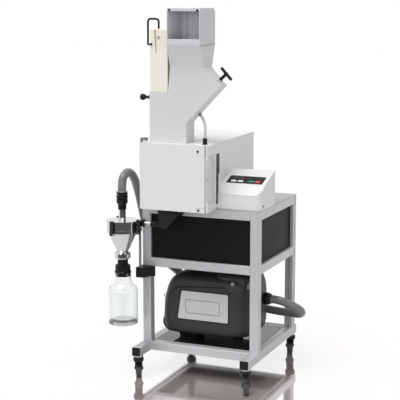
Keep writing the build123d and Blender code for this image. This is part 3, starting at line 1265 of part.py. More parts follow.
lid_z = BODY_TOP + SEAT
cyclone_lid = turned(
    [(0, TUBE_BOTTOM), (TUBE_R, TUBE_BOTTOM), (TUBE_R, lid_z), (LID_R, lid_z), (LID_R, lid_z + LID_THICK),
     (TUBE_R, lid_z + LID_THICK), (TUBE_R, TUBE_TOP), (0, TUBE_TOP)],
    [(0, TUBE_BOTTOM), (TUBE_R - TUBE_WALL, TUBE_BOTTOM), (TUBE_R - TUBE_WALL, TUBE_TOP), (0, TUBE_TOP)],
)
keep(cyclone_lid, "cyclone_lid")

claw_z = lid_z + LID_THICK + LIFT
for number, turn in enumerate(LATCH_TURNS, start=1):
    side = toggle_side(turn)
    with BuildPart() as toggle:
        with BuildSketch(side.offset(-TOGGLE_WIDTH / 2)):
            with BuildLine():
                Polyline(
                    (TOGGLE_R[0], TOGGLE_PIVOT[1] - 6),
                    (TOGGLE_R[0], claw_z),
                    (CLAW_INNER_R, claw_z),
                    (CLAW_INNER_R, claw_z + CLAW_THICK),
                    (TOGGLE_R[1], claw_z + CLAW_THICK),
                    (TOGGLE_R[1] + 2, TOGGLE_PIVOT[1]),
                    (TOGGLE_R[1], TOGGLE_PIVOT[1] - 6),
                    close=True,
                )
            make_face()
        extrude(amount=TOGGLE_WIDTH)
        with BuildSketch(side.offset(-lug_half - TOGGLE_LUG)):
            with Locations(TOGGLE_PIVOT):
                Circle(TOGGLE_PIN_R)
        extrude(amount=2 * (lug_half + TOGGLE_LUG))
    keep(toggle, f"lid_latch_{number}")

hose_coupling = turned(
    [(TUBE_R + SEAT, COUPLING_Z[0]), (COUPLING_TUBE_R, COUPLING_Z[0]),
     (COUPLING_TUBE_R + 1, COUPLING_Z[1] - 6), (COUPLING_HOSE_R, COUPLING_Z[1]),
     (COUPLING_HOSE_R, COUPLING_Z[2]), (0, COUPLING_Z[2]), (0, COUPLING_Z[1] + 6), (TUBE_R + SEAT, COUPLING_Z[1])],
    [(0, COUPLING_Z[1] + 6), (TUBE_R - TUBE_WALL, COUPLING_Z[1] + 6), (TUBE_R - TUBE_WALL, COUPLING_Z[2]),
     (0, COUPLING_Z[2])],
)
keep(hose_coupling, "hose_coupling")

adapter_top = FERRULE_Z[0] - SEAT
jar_adapter = turned(
    [(0, ADAPTER_Z[0]), (BOTTLE_NECK_R - BOTTLE_WALL - LIFT, ADAPTER_Z[0]),
     (BOTTLE_NECK_R - BOTTLE_WALL - LIFT, ADAPTER_Z[1]), (BOTTLE_NECK_R, ADAPTER_Z[1]),
     (BOTTLE_NECK_R, ADAPTER_Z[1] + 4), (ADAPTER_R, ADAPTER_Z[1] + 8), (ADAPTER_R, ADAPTER_Z[2] - 6),
     (ADAPTER_NECK_R + 1, ADAPTER_Z[2]), (ADAPTER_NECK_R, adapter_top), (0, adapter_top)],
    [(0, ADAPTER_Z[0]), (outlet_r - 4, ADAPTER_Z[0]), (outlet_r - 4, adapter_top), (0, adapter_top)],
)
keep(jar_adapter, "jar_adapter")

bottle_top = ADAPTER_Z[1] - LIFT
with BuildPart() as sample_bottle:
    with BuildSketch(front_plane(CYCLONE_Y)):
        with BuildLine():
            base_in = Line((CYCLONE_X, BOTTLE_BASE_Z), (CYCLONE_X + BOTTLE_R - 10, BOTTLE_BASE_Z))
            RadiusArc(base_in @ 1, (CYCLONE_X + BOTTLE_R, BOTTLE_BASE_Z + 10), -10)
            wall = Line((CYCLONE_X + BOTTLE_R, BOTTLE_BASE_Z + 10), (CYCLONE_X + BOTTLE_R, BOTTLE_SHOULDER_Z))
            shoulder_end = (CYCLONE_X + BOTTLE_NECK_R, BOTTLE_NECK_Z)
            shoulder = Spline(wall @ 1, shoulder_end, tangents=[(0, 1), (-0.15, 1)])
            neck = Line(shoulder @ 1, (CYCLONE_X + BOTTLE_NECK_R, bottle_top))
            Line(neck @ 1, (CYCLONE_X, bottle_top))
            Line((CYCLONE_X, bottle_top), base_in @ 0)
        make_face()
        with BuildLine():
            inner_r = BOTTLE_R - BOTTLE_WALL
            inner_neck = BOTTLE_NECK_R - BOTTLE_WALL
            floor_z = BOTTLE_BASE_Z + BOTTLE_FOOT
            floor = Line((CYCLONE_X, floor_z), (CYCLONE_X + inner_r - 8, floor_z))
            RadiusArc(floor @ 1, (CYCLONE_X + inner_r, floor_z + 8), -8)
            inside = Line((CYCLONE_X + inner_r, floor_z + 8), (CYCLONE_X + inner_r, BOTTLE_SHOULDER_Z))
            inner_end = (CYCLONE_X + inner_neck, BOTTLE_NECK_Z)
            turn_in = Spline(inside @ 1, inner_end, tangents=[(0, 1), (-0.15, 1)])
            throat = Line(turn_in @ 1, (CYCLONE_X + inner_neck, bottle_top))
            Line(throat @ 1, (CYCLONE_X, bottle_top))
            Line((CYCLONE_X, bottle_top), floor @ 0)
        make_face(mode=Mode.SUBTRACT)
    revolve(axis=Axis((CYCLONE_X, CYCLONE_Y, 0), (0, 0, 1)))
keep(sample_bottle, "sample_bottle")

with BuildPart() as support_rod:
    with BuildSketch(Plane((ROD_X, ROD_Y, ROD_Z[0]))):
        Circle(ROD_R)
    extrude(amount=ROD_Z[1] - ROD_Z[0])
keep(support_rod, "support_rod")

bracket_left = ROD_X - 16.0
with BuildPart() as rod_bracket:
    with BuildSketch(Plane.XY.offset(BRACKET_Z[0])):
        with BuildLine():
            Polyline(
                (bracket_left, ROD_Y - 14),
                (ROD_X + 20, ROD_Y - 14),
                (BRACKET_TIP - 12, FRAME_Y - BRACKET_PLATE),
                (BRACKET_TIP, FRAME_Y - BRACKET_PLATE / 2),
                (BRACKET_TIP, FRAME_Y - SEAT),
                (bracket_left, FRAME_Y - SEAT),
                close=True,
            )
        make_face()
        with Locations((ROD_X, ROD_Y)):
            Circle(ROD_R + SEAT, mode=Mode.SUBTRACT)
    extrude(amount=BRACKET_Z[1] - BRACKET_Z[0])
keep(rod_bracket, "rod_bracket")


# Suction unit

unit_front = UNIT_Y[0]
unit_wheel_ys = (unit_front + UNIT_WHEEL_INSET, UNIT_Y[1] - UNIT_WHEEL_INSET - UNIT_WHEEL_WIDTH)
head_bottom = UNIT_SEAM + SEAT
head_tops = (UNIT_SEAM + HEAD_RISE[0], UNIT_SEAM + HEAD_RISE[1])
break_x = UNIT_X[0] + HEAD_BREAK * UNIT_WIDTH
plate_left = UNIT_X[0] + PLATE_LEFT
plate_bottom = UNIT_BOTTOM + PLATE_UP
plate_lean = PLATE_SIZE[1] - PLATE_SIZE[0]


def unit_shell():
    """The suction unit's whole rounded form."""
    with BuildPart() as shell:
        with BuildSketch(front_plane(unit_front)) as face:
            with BuildLine():
                Polyline(
                    (UNIT_X[0], UNIT_BOTTOM),
                    (UNIT_X[1], UNIT_BOTTOM),
                    (UNIT_X[1], head_tops[1]),
                    (break_x, head_tops[0] + UNIT_LEAN),
                    (UNIT_X[0] + UNIT_LEAN, head_tops[0]),
                    close=True,
                )
            make_face()
            corners = [
                face.vertices().sort_by_distance((x, unit_front, z))[0]
                for x, z in (
                    (UNIT_X[0], UNIT_BOTTOM),
                    (UNIT_X[1], UNIT_BOTTOM),
                    (UNIT_X[1], head_tops[1]),
                    (UNIT_X[0] + UNIT_LEAN, head_tops[0]),
                )
            ]
            for corner, radius in zip(corners, UNIT_CORNERS):
                fillet(corner, radius)
        extrude(amount=-UNIT_DEPTH)
        fillet(shell.faces().filter_by(Axis.Y).edges(), UNIT_ROUND)
    return shell.part


def plate_face(gap, y):
    """The plate's outline with its lower side wider, moved out by the gap."""
    with BuildSketch(front_plane(y)) as plate:
        with BuildLine():
            Polyline(
                (plate_left - gap, plate_bottom - gap),
                (plate_left + PLATE_SIZE[1] + gap, plate_bottom - gap),
                (plate_left + PLATE_SIZE[1] + gap, plate_bottom + PLATE_SIZE[2] + gap),
                (plate_left + plate_lean - gap, plate_bottom + PLATE_SIZE[2] + gap),
                close=True,
            )
        make_face()
        fillet(plate.vertices(), PLATE_CORNER)
    return plate.sketch


unit_span = (UNIT_X[0] - SLIP, UNIT_X[1] + SLIP)
unit_reach = (UNIT_Y[0] - SLIP, UNIT_Y[1] + SLIP)
with BuildPart() as suction_tank:
    add(unit_shell())
    box_between(unit_span, unit_reach, (UNIT_SEAM, head_tops[1] + SLIP), Mode.SUBTRACT)
    extrude(plate_face(SEAT, unit_front), amount=-PLATE_DEEP, mode=Mode.SUBTRACT)
    for y in unit_wheel_ys:
        with BuildSketch(along_y(UNIT_WHEEL_X, y - 4, UNIT_AXLE_Z)):
            Circle(UNIT_WHEEL_R + 4)
        extrude(amount=UNIT_WHEEL_WIDTH + 8, mode=Mode.SUBTRACT)
    with BuildSketch(along_y(UNIT_WHEEL_X, unit_wheel_ys[0], UNIT_AXLE_Z)):
        Circle(UNIT_AXLE_R + RUN)
    extrude(amount=unit_wheel_ys[1] - unit_wheel_ys[0], mode=Mode.SUBTRACT)
    for x in (UNIT_X[0] + 2 * UNIT_FOOT_INSET, UNIT_X[1] - UNIT_FOOT_INSET):
        for y in (UNIT_Y[0] + UNIT_FOOT_INSET, UNIT_Y[1] - UNIT_FOOT_INSET):
            with BuildSketch(Plane((x, y, BASE_TOP))):
                Circle(UNIT_FOOT_R)
            extrude(amount=UNIT_LIFT + 2)
keep(suction_tank, "suction_tank")

with BuildPart() as suction_head:
    add(unit_shell())
    box_between(unit_span, unit_reach, (UNIT_BOTTOM - SLIP, head_bottom), Mode.SUBTRACT)
    with BuildSketch(front_plane(unit_front)):
        with Locations((SWITCH_X, SWITCH_Z)):
            Circle(SWITCH_R + SLIP)
    extrude(amount=-SWITCH_DEEP - 3, mode=Mode.SUBTRACT)
keep(suction_head, "suction_head")

with BuildPart() as suction_plate:
    extrude(plate_face(0, unit_front - PLATE_DEEP / 2), amount=-PLATE_DEEP * 1.5)
keep(suction_plate, "suction_plate")

with BuildPart() as suction_switch:
    with BuildSketch(front_plane(unit_front - SWITCH_PROUD)):
        with Locations((SWITCH_X, SWITCH_Z)):
            Circle(SWITCH_R)
    extrude(amount=-(SWITCH_PROUD + SWITCH_DEEP))
keep(suction_switch, "suction_switch")

with BuildPart() as suction_wheels:
    for y in unit_wheel_ys:
        with BuildSketch(along_y(UNIT_WHEEL_X, y, UNIT_AXLE_Z)):
            Circle(UNIT_WHEEL_R)
        extrude(amount=UNIT_WHEEL_WIDTH)
    with BuildSketch(along_y(UNIT_WHEEL_X, unit_wheel_ys[0], UNIT_AXLE_Z)):
        Circle(UNIT_AXLE_R)
    extrude(amount=unit_wheel_ys[1] - unit_wheel_ys[0])
keep(suction_wheels, "suction_wheels")

with BuildPart() as hose_port:
    with BuildSketch(along_x(UNIT_X[1], PORT_Y, PORT_Z)):
        Circle(PORT_R)
    extrude(amount=PORT_LENGTH)
    chamfer(hose_port.edges().group_by(Axis.X)[-1], 4)
keep(hose_port, "hose_port")


# Cable and hose, each along straight runs joined by tangent arcs

def cord(start, way_points, end, radius):
    """Tube through points given from the frame's front centre; prints its bend radii."""
    between = [Vector(x + FRAME_X, y + FRAME_Y, z) for x, y, z in way_points]
    points = [Vector(*start), *between, Vector(*end)]
    runs = [after - before for before, after in zip(points, points[1:])]
    bends = []
    for before, after in zip(runs, runs[1:]):
        half_turn = math.radians(before.get_angle(after)) / 2
        bends.append(CORD_ARC_SHARE * min(before.length, after.length) / math.tan(half_turn))
    with BuildPart() as tube:
        with BuildLine() as route:
            FilletPolyline(*points, radius=bends)
        with BuildSketch(Plane(origin=points[0], z_dir=runs[0])):
            Circle(radius)
        sweep()
    length = sum(edge.length for edge in route.edges())
    share = tube.part.volume / (math.pi * radius**2 * length)
    print("length", round(length, 1), "radii", [round(bend) for bend in bends], "volume", round(share, 4))
    return tube


underside = Vector(ELBOW[0] - CHANNEL_RIGHT, 0, ELBOW[1] - BELLY_Z).normalized()
along_underside = (CABLE_START_X - CHANNEL_RIGHT) / underside.X
cable_outlet = Vector(CHANNEL_RIGHT, CABLE_START_Y, BELLY_Z) + underside * along_underside
sensor_cable = cord(
    cable_outlet + Vector(0, 1, 0).cross(underside) * LIFT,
    CABLE_POINTS,
    (GLAND_X, GLAND_Y, HOUSING_TOP + GLAND_HEIGHT),
    CABLE_R,
)
keep(sensor_cable, "sensor_cable")

suction_hose = cord(
    (CYCLONE_X, CYCLONE_Y, COUPLING_Z[2]),
    HOSE_POINTS,
    (UNIT_X[1] + PORT_LENGTH, PORT_Y, PORT_Z),
    HOSE_R,
)
keep(suction_hose, "suction_hose")
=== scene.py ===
"""Looks of the laboratory cutting mill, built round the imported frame. Metres, +Z up, front towards -Y."""

import math

import bmesh
import bpy
from mathutils import Matrix, Vector


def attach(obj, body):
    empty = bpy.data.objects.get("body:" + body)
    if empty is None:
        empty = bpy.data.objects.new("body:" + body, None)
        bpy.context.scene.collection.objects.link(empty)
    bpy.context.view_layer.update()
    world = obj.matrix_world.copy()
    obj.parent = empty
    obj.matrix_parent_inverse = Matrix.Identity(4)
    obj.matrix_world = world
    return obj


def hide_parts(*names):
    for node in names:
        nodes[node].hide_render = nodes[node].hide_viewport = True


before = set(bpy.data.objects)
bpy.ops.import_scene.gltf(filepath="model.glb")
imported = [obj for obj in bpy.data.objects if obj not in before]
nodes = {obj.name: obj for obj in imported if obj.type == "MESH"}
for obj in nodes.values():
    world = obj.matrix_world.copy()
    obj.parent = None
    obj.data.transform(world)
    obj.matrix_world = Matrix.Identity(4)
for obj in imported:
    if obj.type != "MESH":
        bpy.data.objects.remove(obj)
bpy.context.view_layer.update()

MM = 0.001
FRAME_X = 56.5            # centre line of the frame, in millimetres
FRAME_Y = -201.0          # front faces of the posts, in millimetres

# Lines that several pieces share, in millimetres from the frame's front centre
HOPPER_Y = -35.5          # middle plane of the plunger, its handle, the knob and the clamping screw
GLAND = (58.0, -74.0)     # upright axis of the cable gland
CYCLONE = (-337.0, -94.0)     # upright axis of the cyclone and its bottle


def at(x, y, z):
    """A point given in millimetres from the frame's front centre, in metres."""
    return Vector((x + FRAME_X, y + FRAME_Y, z)) * MM


# Camera

camera_data = bpy.data.cameras.new("camera")
camera_data.lens = 107.15
camera_data.sensor_width = 36.0
camera_data.clip_end = 60.0
camera = bpy.data.objects.new("camera", camera_data)
camera.location = (2.0949, -5.0058, 1.7359)
camera.rotation_euler = (math.radians(80.129), 0.0, math.radians(22.960))
bpy.context.collection.objects.link(camera)
bpy.context.scene.camera = camera
bpy.context.scene.view_settings.view_transform = "Standard"


# Hose and cable, on the same points as the solids they stand for

CABLE_POINTS = (
    (14.5, -45.2, 1222.0),
    (29.7, -45.2, 1206.9),
    (46.7, -54.1, 1183.8),
    (55.6, -66.6, 1158.4),
    (58.0, -74.0, 1129.7),
    (58.0, -74.0, 1108.0),
)
HOSE_POINTS = (
    (-337.0, -94.0, 858.0),
    (-337.0, -94.0, 886.0),
    (-338.0, -84.0, 917.0),
    (-337.0, -57.0, 937.0),
    (-334.0, -22.0, 938.0),
    (-330.0, 10.0, 914.0),
    (-326.0, 33.0, 872.0),
    (-321.0, 60.0, 800.0),
    (-316.0, 88.0, 706.0),
    (-311.0, 135.0, 610.0),
    (-307.0, 205.0, 530.0),
    (-300.0, 290.0, 462.0),
    (-278.0, 362.0, 408.0),
    (-225.0, 396.0, 352.0),
    (-150.0, 403.0, 300.0),
    (-60.0, 404.0, 262.0),
    (30.0, 405.0, 249.0),
    (130.0, 401.0, 252.0),
    (232.0, 392.0, 246.0),
    (310.0, 374.0, 248.0),
    (365.0, 346.0, 254.0),
    (388.0, 308.0, 278.0),
    (368.0, 276.0, 306.0),
    (328.0, 254.0, 328.0),
    (284.0, 250.0, 340.0),
    (245.0, 250.0, 340.0),
)
CABLE_R = 6.0
HOSE_R = 19.0


def flexible(name, points, radius, node):
    """A smooth round cord through the points, in place of the solid it stands for."""
    data = bpy.data.curves.new(name, "CURVE")
    data.dimensions = "3D"
    data.bevel_depth = 1.0          # the points' own radius sets the thickness
    data.bevel_resolution = 8
    spline = data.splines.new("NURBS")
    spline.points.add(len(points) - 1)
    for control, place in zip(spline.points, points):
        control.co = (*at(*place), 1.0)
        control.radius = radius * MM
    spline.order_u = 3
    spline.use_endpoint_u = True
    spline.resolution_u = 12
    piece = bpy.data.objects.new(name, data)
    bpy.context.collection.objects.link(piece)
    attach(piece, "base")
    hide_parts(node)
    return piece


cable = flexible("sensor_lead", CABLE_POINTS, CABLE_R, "sensor_cable")
hose = flexible("vacuum_hose", HOSE_POINTS, HOSE_R, "suction_hose")


# Materials

def light(*levels):
    """A linear colour from display levels between 0 and 255."""
    linear = []
    for level in levels:
        share = level / 255.0
        linear.append(share / 12.92 if share <= 0.04045 else ((share + 0.055) / 1.055) ** 2.4)
    return tuple(linear)


def shade(colour, factor):
    """The colour made lighter or darker, with full opacity."""
    return (*(min(1.0, part * factor) for part in colour), 1.0)


NOISE_SPAN = (0.3, 0.7)   # where nearly all of a noise texture's values lie
FINE_SHARE = 0.4          # share of the fine noise in the tones, beside the broad one
RELIEF_DEPTH = 0.0006     # metres
COAT_ROUGH = 0.08
LEAST_ROUGH = 0.02


def finish(name, colour, rough, metal=0.0, spread=0.05, grain=40.0, relief=0.05, blotch=4.0,
           stretch=(1.0, 1.0, 1.0), rough_spread=0.06, coat=0.0, sheen=0.0, specular=0.5):
    """A surface with tonal variation, uneven roughness and fine relief, all in object space."""
    material = bpy.data.materials.new(name)
    material.use_nodes = True
    tree = material.node_tree
    shader = tree.nodes["Principled BSDF"]
    place = tree.nodes.new("ShaderNodeTexCoord")
    mapping = tree.nodes.new("ShaderNodeMapping")
    mapping.inputs["Scale"].default_value = stretch
    tree.links.new(place.outputs["Object"], mapping.inputs["Vector"])

    def noise(scale, detail):
        node = tree.nodes.new("ShaderNodeTexNoise")
        node.inputs["Scale"].default_value = scale
        node.inputs["Detail"].default_value = detail
        tree.links.new(mapping.outputs["Vector"], node.inputs["Vector"])
        return node

    broad = noise(blotch, 3.0)
    fine = noise(grain, 5.0)
    blend = tree.nodes.new("ShaderNodeMix")
    blend.inputs["Factor"].default_value = FINE_SHARE
    tree.links.new(broad.outputs["Fac"], blend.inputs["A"])
    tree.links.new(fine.outputs["Fac"], blend.inputs["B"])
    ramp = tree.nodes.new("ShaderNodeValToRGB")
    ramp.color_ramp.elements[0].position = NOISE_SPAN[0]
    ramp.color_ramp.elements[0].color = shade(colour, 1.0 - spread)
    ramp.color_ramp.elements[1].position = NOISE_SPAN[1]
    ramp.color_ramp.elements[1].color = shade(colour, 1.0 + spread)
    tree.links.new(blend.outputs["Result"], ramp.inputs["Fac"])
    tree.links.new(ramp.outputs["Color"], shader.inputs["Base Color"])
    spans = tree.nodes.new("ShaderNodeMapRange")
    spans.inputs["From Min"].default_value = NOISE_SPAN[0]
    spans.inputs["From Max"].default_value = NOISE_SPAN[1]
    spans.inputs["To Min"].default_value = max(LEAST_ROUGH, rough - rough_spread)
    spans.inputs["To Max"].default_value = min(1.0, rough + rough_spread)
    tree.links.new(broad.outputs["Fac"], spans.inputs["Value"])
    tree.links.new(spans.outputs["Result"], shader.inputs["Roughness"])
    bump = tree.nodes.new("ShaderNodeBump")
    bump.inputs["Strength"].default_value = relief
    bump.inputs["Distance"].default_value = RELIEF_DEPTH
    tree.links.new(fine.outputs["Fac"], bump.inputs["Height"])
    tree.links.new(bump.outputs["Normal"], shader.inputs["Normal"])
    shader.inputs["Metallic"].default_value = metal
    shader.inputs["Coat Weight"].default_value = coat
    shader.inputs["Coat Roughness"].default_value = COAT_ROUGH
    shader.inputs["Sheen Weight"].default_value = sheen
    shader.inputs["Specular IOR Level"].default_value = specular
    return material


GLASS_IOR = 1.47


def glass(name, colour):
    """Clear glass, a little uneven, with a faint tint."""
    material = finish(name, colour, 0.03, spread=0.01, grain=25.0, relief=0.03, rough_spread=0.015)
    shader = material.node_tree.nodes["Principled BSDF"]
    shader.inputs["Transmission Weight"].default_value = 1.0
    shader.inputs["IOR"].default_value = GLASS_IOR
    return material


PAINT = finish("white_powder_coat", light(230, 230, 232), 0.42, spread=0.012, grain=900.0, relief=0.12,
               blotch=2.2, coat=0.06)
HOPPER_PAINT = finish("hopper_powder_coat", light(218, 218, 220), 0.45, spread=0.014, grain=900.0,
                      relief=0.12, blotch=2.0, coat=0.05)
HOOD_PAINT = finish("hood_powder_coat", light(212, 212, 216), 0.45, spread=0.014, grain=900.0, relief=0.12,
                    blotch=2.0, coat=0.05)
ALUMINIUM = finish("anodised_aluminium", light(202, 202, 205), 0.42, metal=0.35, spread=0.03, grain=260.0,
                   relief=0.05, stretch=(1.0, 1.0, 0.06), blotch=5.0)
DECK = finish("deck_coating", light(160, 160, 162), 0.36, metal=0.25, spread=0.025, grain=500.0, relief=0.08,
              blotch=3.0)
DARK_PANEL = finish("dark_laminate", light(23, 22, 21), 0.5, spread=0.07, grain=300.0, relief=0.04,
                    blotch=2.0, specular=0.12)
SHELF = finish("dark_shelf_enamel", light(24, 22, 21), 0.07, spread=0.08, grain=300.0, relief=0.01,
               blotch=3.0, rough_spread=0.03, specular=0.6)
BLACK = finish("black_moulding", light(24, 23, 23), 0.42, spread=0.1, grain=420.0, relief=0.22, specular=0.25)
CAP_BLACK = finish("end_cap_plastic", light(22, 22, 21), 0.5, spread=0.1, grain=380.0, relief=0.25,
                   specular=0.2)
RUBBER = finish("black_rubber_coat", light(16, 15, 15), 0.45, spread=0.1, grain=300.0, relief=0.2,
                specular=0.25)
CHROME = finish("polished_steel", light(208, 208, 211), 0.07, metal=1.0, spread=0.02, grain=120.0,
                relief=0.02, rough_spread=0.03)
STEEL = finish("brushed_steel", light(196, 196, 198), 0.27, metal=1.0, spread=0.05, grain=220.0, relief=0.08,
               stretch=(1.0, 1.0, 0.08))
HARD_STEEL = finish("ground_tool_steel", light(160, 161, 165), 0.22, metal=1.0, spread=0.06, grain=500.0,
                    relief=0.1, stretch=(1.0, 0.1, 1.0))
DARK_STEEL = finish("blackened_steel", light(58, 56, 57), 0.35, metal=0.6, spread=0.08, grain=200.0,
                    relief=0.1)
LINER = finish("hood_liner_steel", light(238, 238, 241), 0.4, metal=0.1, spread=0.04, grain=200.0,
               relief=0.06)
ZINC = finish("zinc_plate", light(206, 206, 206), 0.24, metal=1.0, spread=0.06, grain=160.0, relief=0.06)
WHEEL = finish("castor_tread", light(66, 65, 68), 0.55, spread=0.1, grain=300.0, relief=0.2)
WHEEL_CORE = finish("castor_core", light(40, 39, 41), 0.45, spread=0.1, grain=240.0, relief=0.15)
CAST = finish("cast_motor_paint", light(92, 96, 100), 0.6, spread=0.1, grain=200.0, relief=0.5)
CREAM = finish("cream_polymer", light(242, 238, 227), 0.4, spread=0.02, grain=160.0, relief=0.05, blotch=5.0)
# Brown cream that paints shade on the plunger's notch and right side
CREAM_PAINTED_SHADE = finish("cream_polymer_painted_shade", light(176, 158, 124), 0.5, spread=0.12, grain=120.0, relief=0.05,
                    blotch=9.0)
FOIL = finish("keypad_foil", light(34, 33, 35), 0.5, spread=0.06, grain=500.0, relief=0.06,
              specular=0.15)
GREEN = finish("green_key_foil", light(20, 128, 104), 0.5, spread=0.05, grain=300.0, relief=0.08)
RED = finish("red_key_foil", light(222, 66, 62), 0.5, spread=0.05, grain=300.0, relief=0.08)
WHITE_KEY = finish("white_key_foil", light(232, 232, 234), 0.42, spread=0.03, grain=300.0, relief=0.08)
PRINT = finish("pale_print", light(150, 150, 152), 0.5, spread=0.05, grain=300.0, relief=0.04)
GREY_CABLE = finish("grey_cable_sheath", light(196, 196, 197), 0.45, spread=0.03, grain=200.0, relief=0.1)
GREY_HOSE = finish("grey_hose_wall", light(114, 113, 116), 0.33, spread=0.06, grain=140.0, relief=0.12,
                   blotch=14.0, coat=0.15)
SHELL = finish("suction_unit_shell", light(54, 52, 52), 0.42, spread=0.08, grain=520.0, relief=0.14,
               specular=0.35)
PLATE = finish("silver_plate", light(208, 209, 211), 0.3, metal=0.35, spread=0.04, grain=200.0, relief=0.05,
               stretch=(0.08, 1.0, 1.0))
SILVER_PLASTIC = finish("silver_plastic", light(150, 150, 150), 0.35, metal=0.4, spread=0.05, grain=300.0,
                        relief=0.1)
LATCH_GREY = finish("grey_latch_plastic", light(128, 128, 131), 0.45, spread=0.06, grain=300.0, relief=0.15)
BOTTLE = glass("bottle_glass", (0.95, 0.965, 0.96))
BASE_GLASS = glass("bottle_base_glass", (0.6, 0.62, 0.62))
SEAM = finish("dark_seam", light(12, 12, 13), 0.7, spread=0.1, grain=300.0, relief=0.05)

# The finish of each solid
DRESS = {
    "base_frame": ALUMINIUM, "upper_rails": ALUMINIUM, "posts": ALUMINIUM, "rail_end_caps": CAP_BLACK,
    "deck_plate": DECK, "shelf_plate": SHELF, "cover_panels": DARK_PANEL, "castor_heads": ZINC,
    "chamber_housing": PAINT, "rear_housing": PAINT, "front_door": PAINT, "control_box": PAINT,
    "door_hinges": PAINT, "hopper_body": HOPPER_PAINT, "feed_hood": HOOD_PAINT, "door_latch": LATCH_GREY,
    "rotor": STEEL, "bottom_sieve": STEEL, "cutting_tips": HARD_STEEL, "cutting_bars": HARD_STEEL,
    "drive_motor": CAST, "outlet_funnel": BLACK, "outlet_pipe": CHROME, "key_panel": FOIL,
    "start_key": GREEN, "stop_key": RED, "menu_key_left": WHITE_KEY, "menu_key_right": WHITE_KEY,
    "tilt_hinge": STEEL, "plunger": CREAM, "plunger_handle": BLACK, "lock_knob": BLACK, "t_handle": BLACK,
    "cable_gland": BLACK, "cyclone_body": CHROME, "cyclone_lid": CHROME, "lid_latch_1": DARK_STEEL,
    "lid_latch_2": DARK_STEEL, "lid_latch_3": DARK_STEEL, "hose_coupling": RUBBER, "jar_adapter": RUBBER,
    "sample_bottle": BOTTLE, "support_rod": STEEL, "rod_bracket": BLACK, "suction_tank": SHELL,
    "suction_head": SHELL, "suction_plate": PLATE, "suction_switch": SILVER_PLASTIC,
    "suction_wheels": RUBBER, "hose_port": SHELL, "sensor_cable": GREY_CABLE, "suction_hose": GREY_HOSE,
}
for corner in ("front_left", "front_right", "rear_left", "rear_right"):
    DRESS["castor_fork_" + corner] = DARK_STEEL
    DRESS["castor_wheel_" + corner] = WHEEL

# Width of the rounding on the edges of each solid that gets one, in millimetres
SOFTENED = {
    "front_door": 2.0, "chamber_housing": 1.5, "rear_housing": 2.0, "control_box": 2.0, "hopper_body": 1.0,
    "feed_hood": 1.0, "plunger": 2.5, "rail_end_caps": 1.2, "deck_plate": 0.8, "door_hinges": 1.5,
    "rod_bracket": 3.0, "base_frame": 0.6, "upper_rails": 0.6, "posts": 0.6, "suction_plate": 1.2,
    "outlet_funnel": 2.0, "door_latch": 2.0, "start_key": 0.6, "stop_key": 0.6, "menu_key_left": 0.6,
    "menu_key_right": 0.6, "drive_motor": 3.0, "cutting_tips": 0.3, "rotor": 0.5, "tilt_hinge": 1.0,
}


WELD_REACH = 0.00002      # metres
FLAT_ANGLE = math.radians(0.6)
EDGE_ANGLE = math.radians(32.0)
FLAT_WEIGHT = 80


def soften(piece, width):
    """Round off the piece's hard edges by modifiers alone."""
    weld = piece.modifiers.new("join", "WELD")
    weld.merge_threshold = WELD_REACH
    flat = piece.modifiers.new("flat_faces", "DECIMATE")
    flat.decimate_type = "DISSOLVE"
    flat.angle_limit = FLAT_ANGLE
    edge = piece.modifiers.new("edges", "BEVEL")
    edge.width = width * MM
    edge.segments = 2
    edge.limit_method = "ANGLE"
    edge.angle_limit = EDGE_ANGLE
    normals = piece.modifiers.new("shading", "WEIGHTED_NORMAL")
    normals.weight = FLAT_WEIGHT


for name, node in nodes.items():
    node.data.materials.clear()
    node.data.materials.append(DRESS[name])
    if name in SOFTENED:
        soften(node, SOFTENED[name])
cable.data.materials.append(GREY_CABLE)
hose.data.materials.append(GREY_HOSE)


# Shapes that the pieces are made from

def keep(name, mesh, material, body, smooth=30.0):
    """Turn a finished bmesh into a piece that rides on its body."""
    bmesh.ops.recalc_face_normals(mesh, faces=mesh.faces)
    data = bpy.data.meshes.new(name)
    mesh.to_mesh(data)
    mesh.free()
    data.shade_smooth()
    data.set_sharp_from_angle(angle=math.radians(smooth))
    data.materials.append(material)
    piece = bpy.data.objects.new(name, data)
    bpy.context.collection.objects.link(piece)
    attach(piece, body)
    return piece


def add_block(mesh, low, high, edge=0.8, tilt=None):
    """Add a block with rounded edges between two corners in frame millimetres."""
    made = bmesh.ops.create_cube(mesh, size=1.0)["verts"]
    size = [(b - a) * MM for a, b in zip(low, high)]
    middle = at(*((a + b) / 2 for a, b in zip(low, high)))
    bmesh.ops.scale(mesh, vec=size, verts=made)
    if tilt:
        bmesh.ops.rotate(mesh, verts=made, cent=(0, 0, 0), matrix=tilt)
    bmesh.ops.translate(mesh, vec=middle, verts=made)
    edges = list({e for v in made for e in v.link_edges})
    bmesh.ops.bevel(mesh, geom=edges, offset=edge * MM, segments=3, profile=0.5, affect="EDGES")


def add_turned(mesh, profile, foot, axis, segments=40):
    """Add a turned form: radius and height pairs round the axis from the foot, in millimetres."""
    turn = Vector(axis).to_track_quat("Z", "Y").to_matrix()
    rings = []
    for radius, height in profile:
        ring = []
        for step in range(segments):
            angle = 2 * math.pi * step / segments
            local = Vector((radius * math.cos(angle), radius * math.sin(angle), height)) * MM
            ring.append(mesh.verts.new(foot + turn @ local))
        rings.append(ring)
    for lower, upper in zip(rings, rings[1:]):
        for step in range(segments):
            after = (step + 1) % segments
            mesh.faces.new((lower[step], lower[after], upper[after], upper[step]))
    mesh.faces.new(rings[0])
    mesh.faces.new(rings[-1])


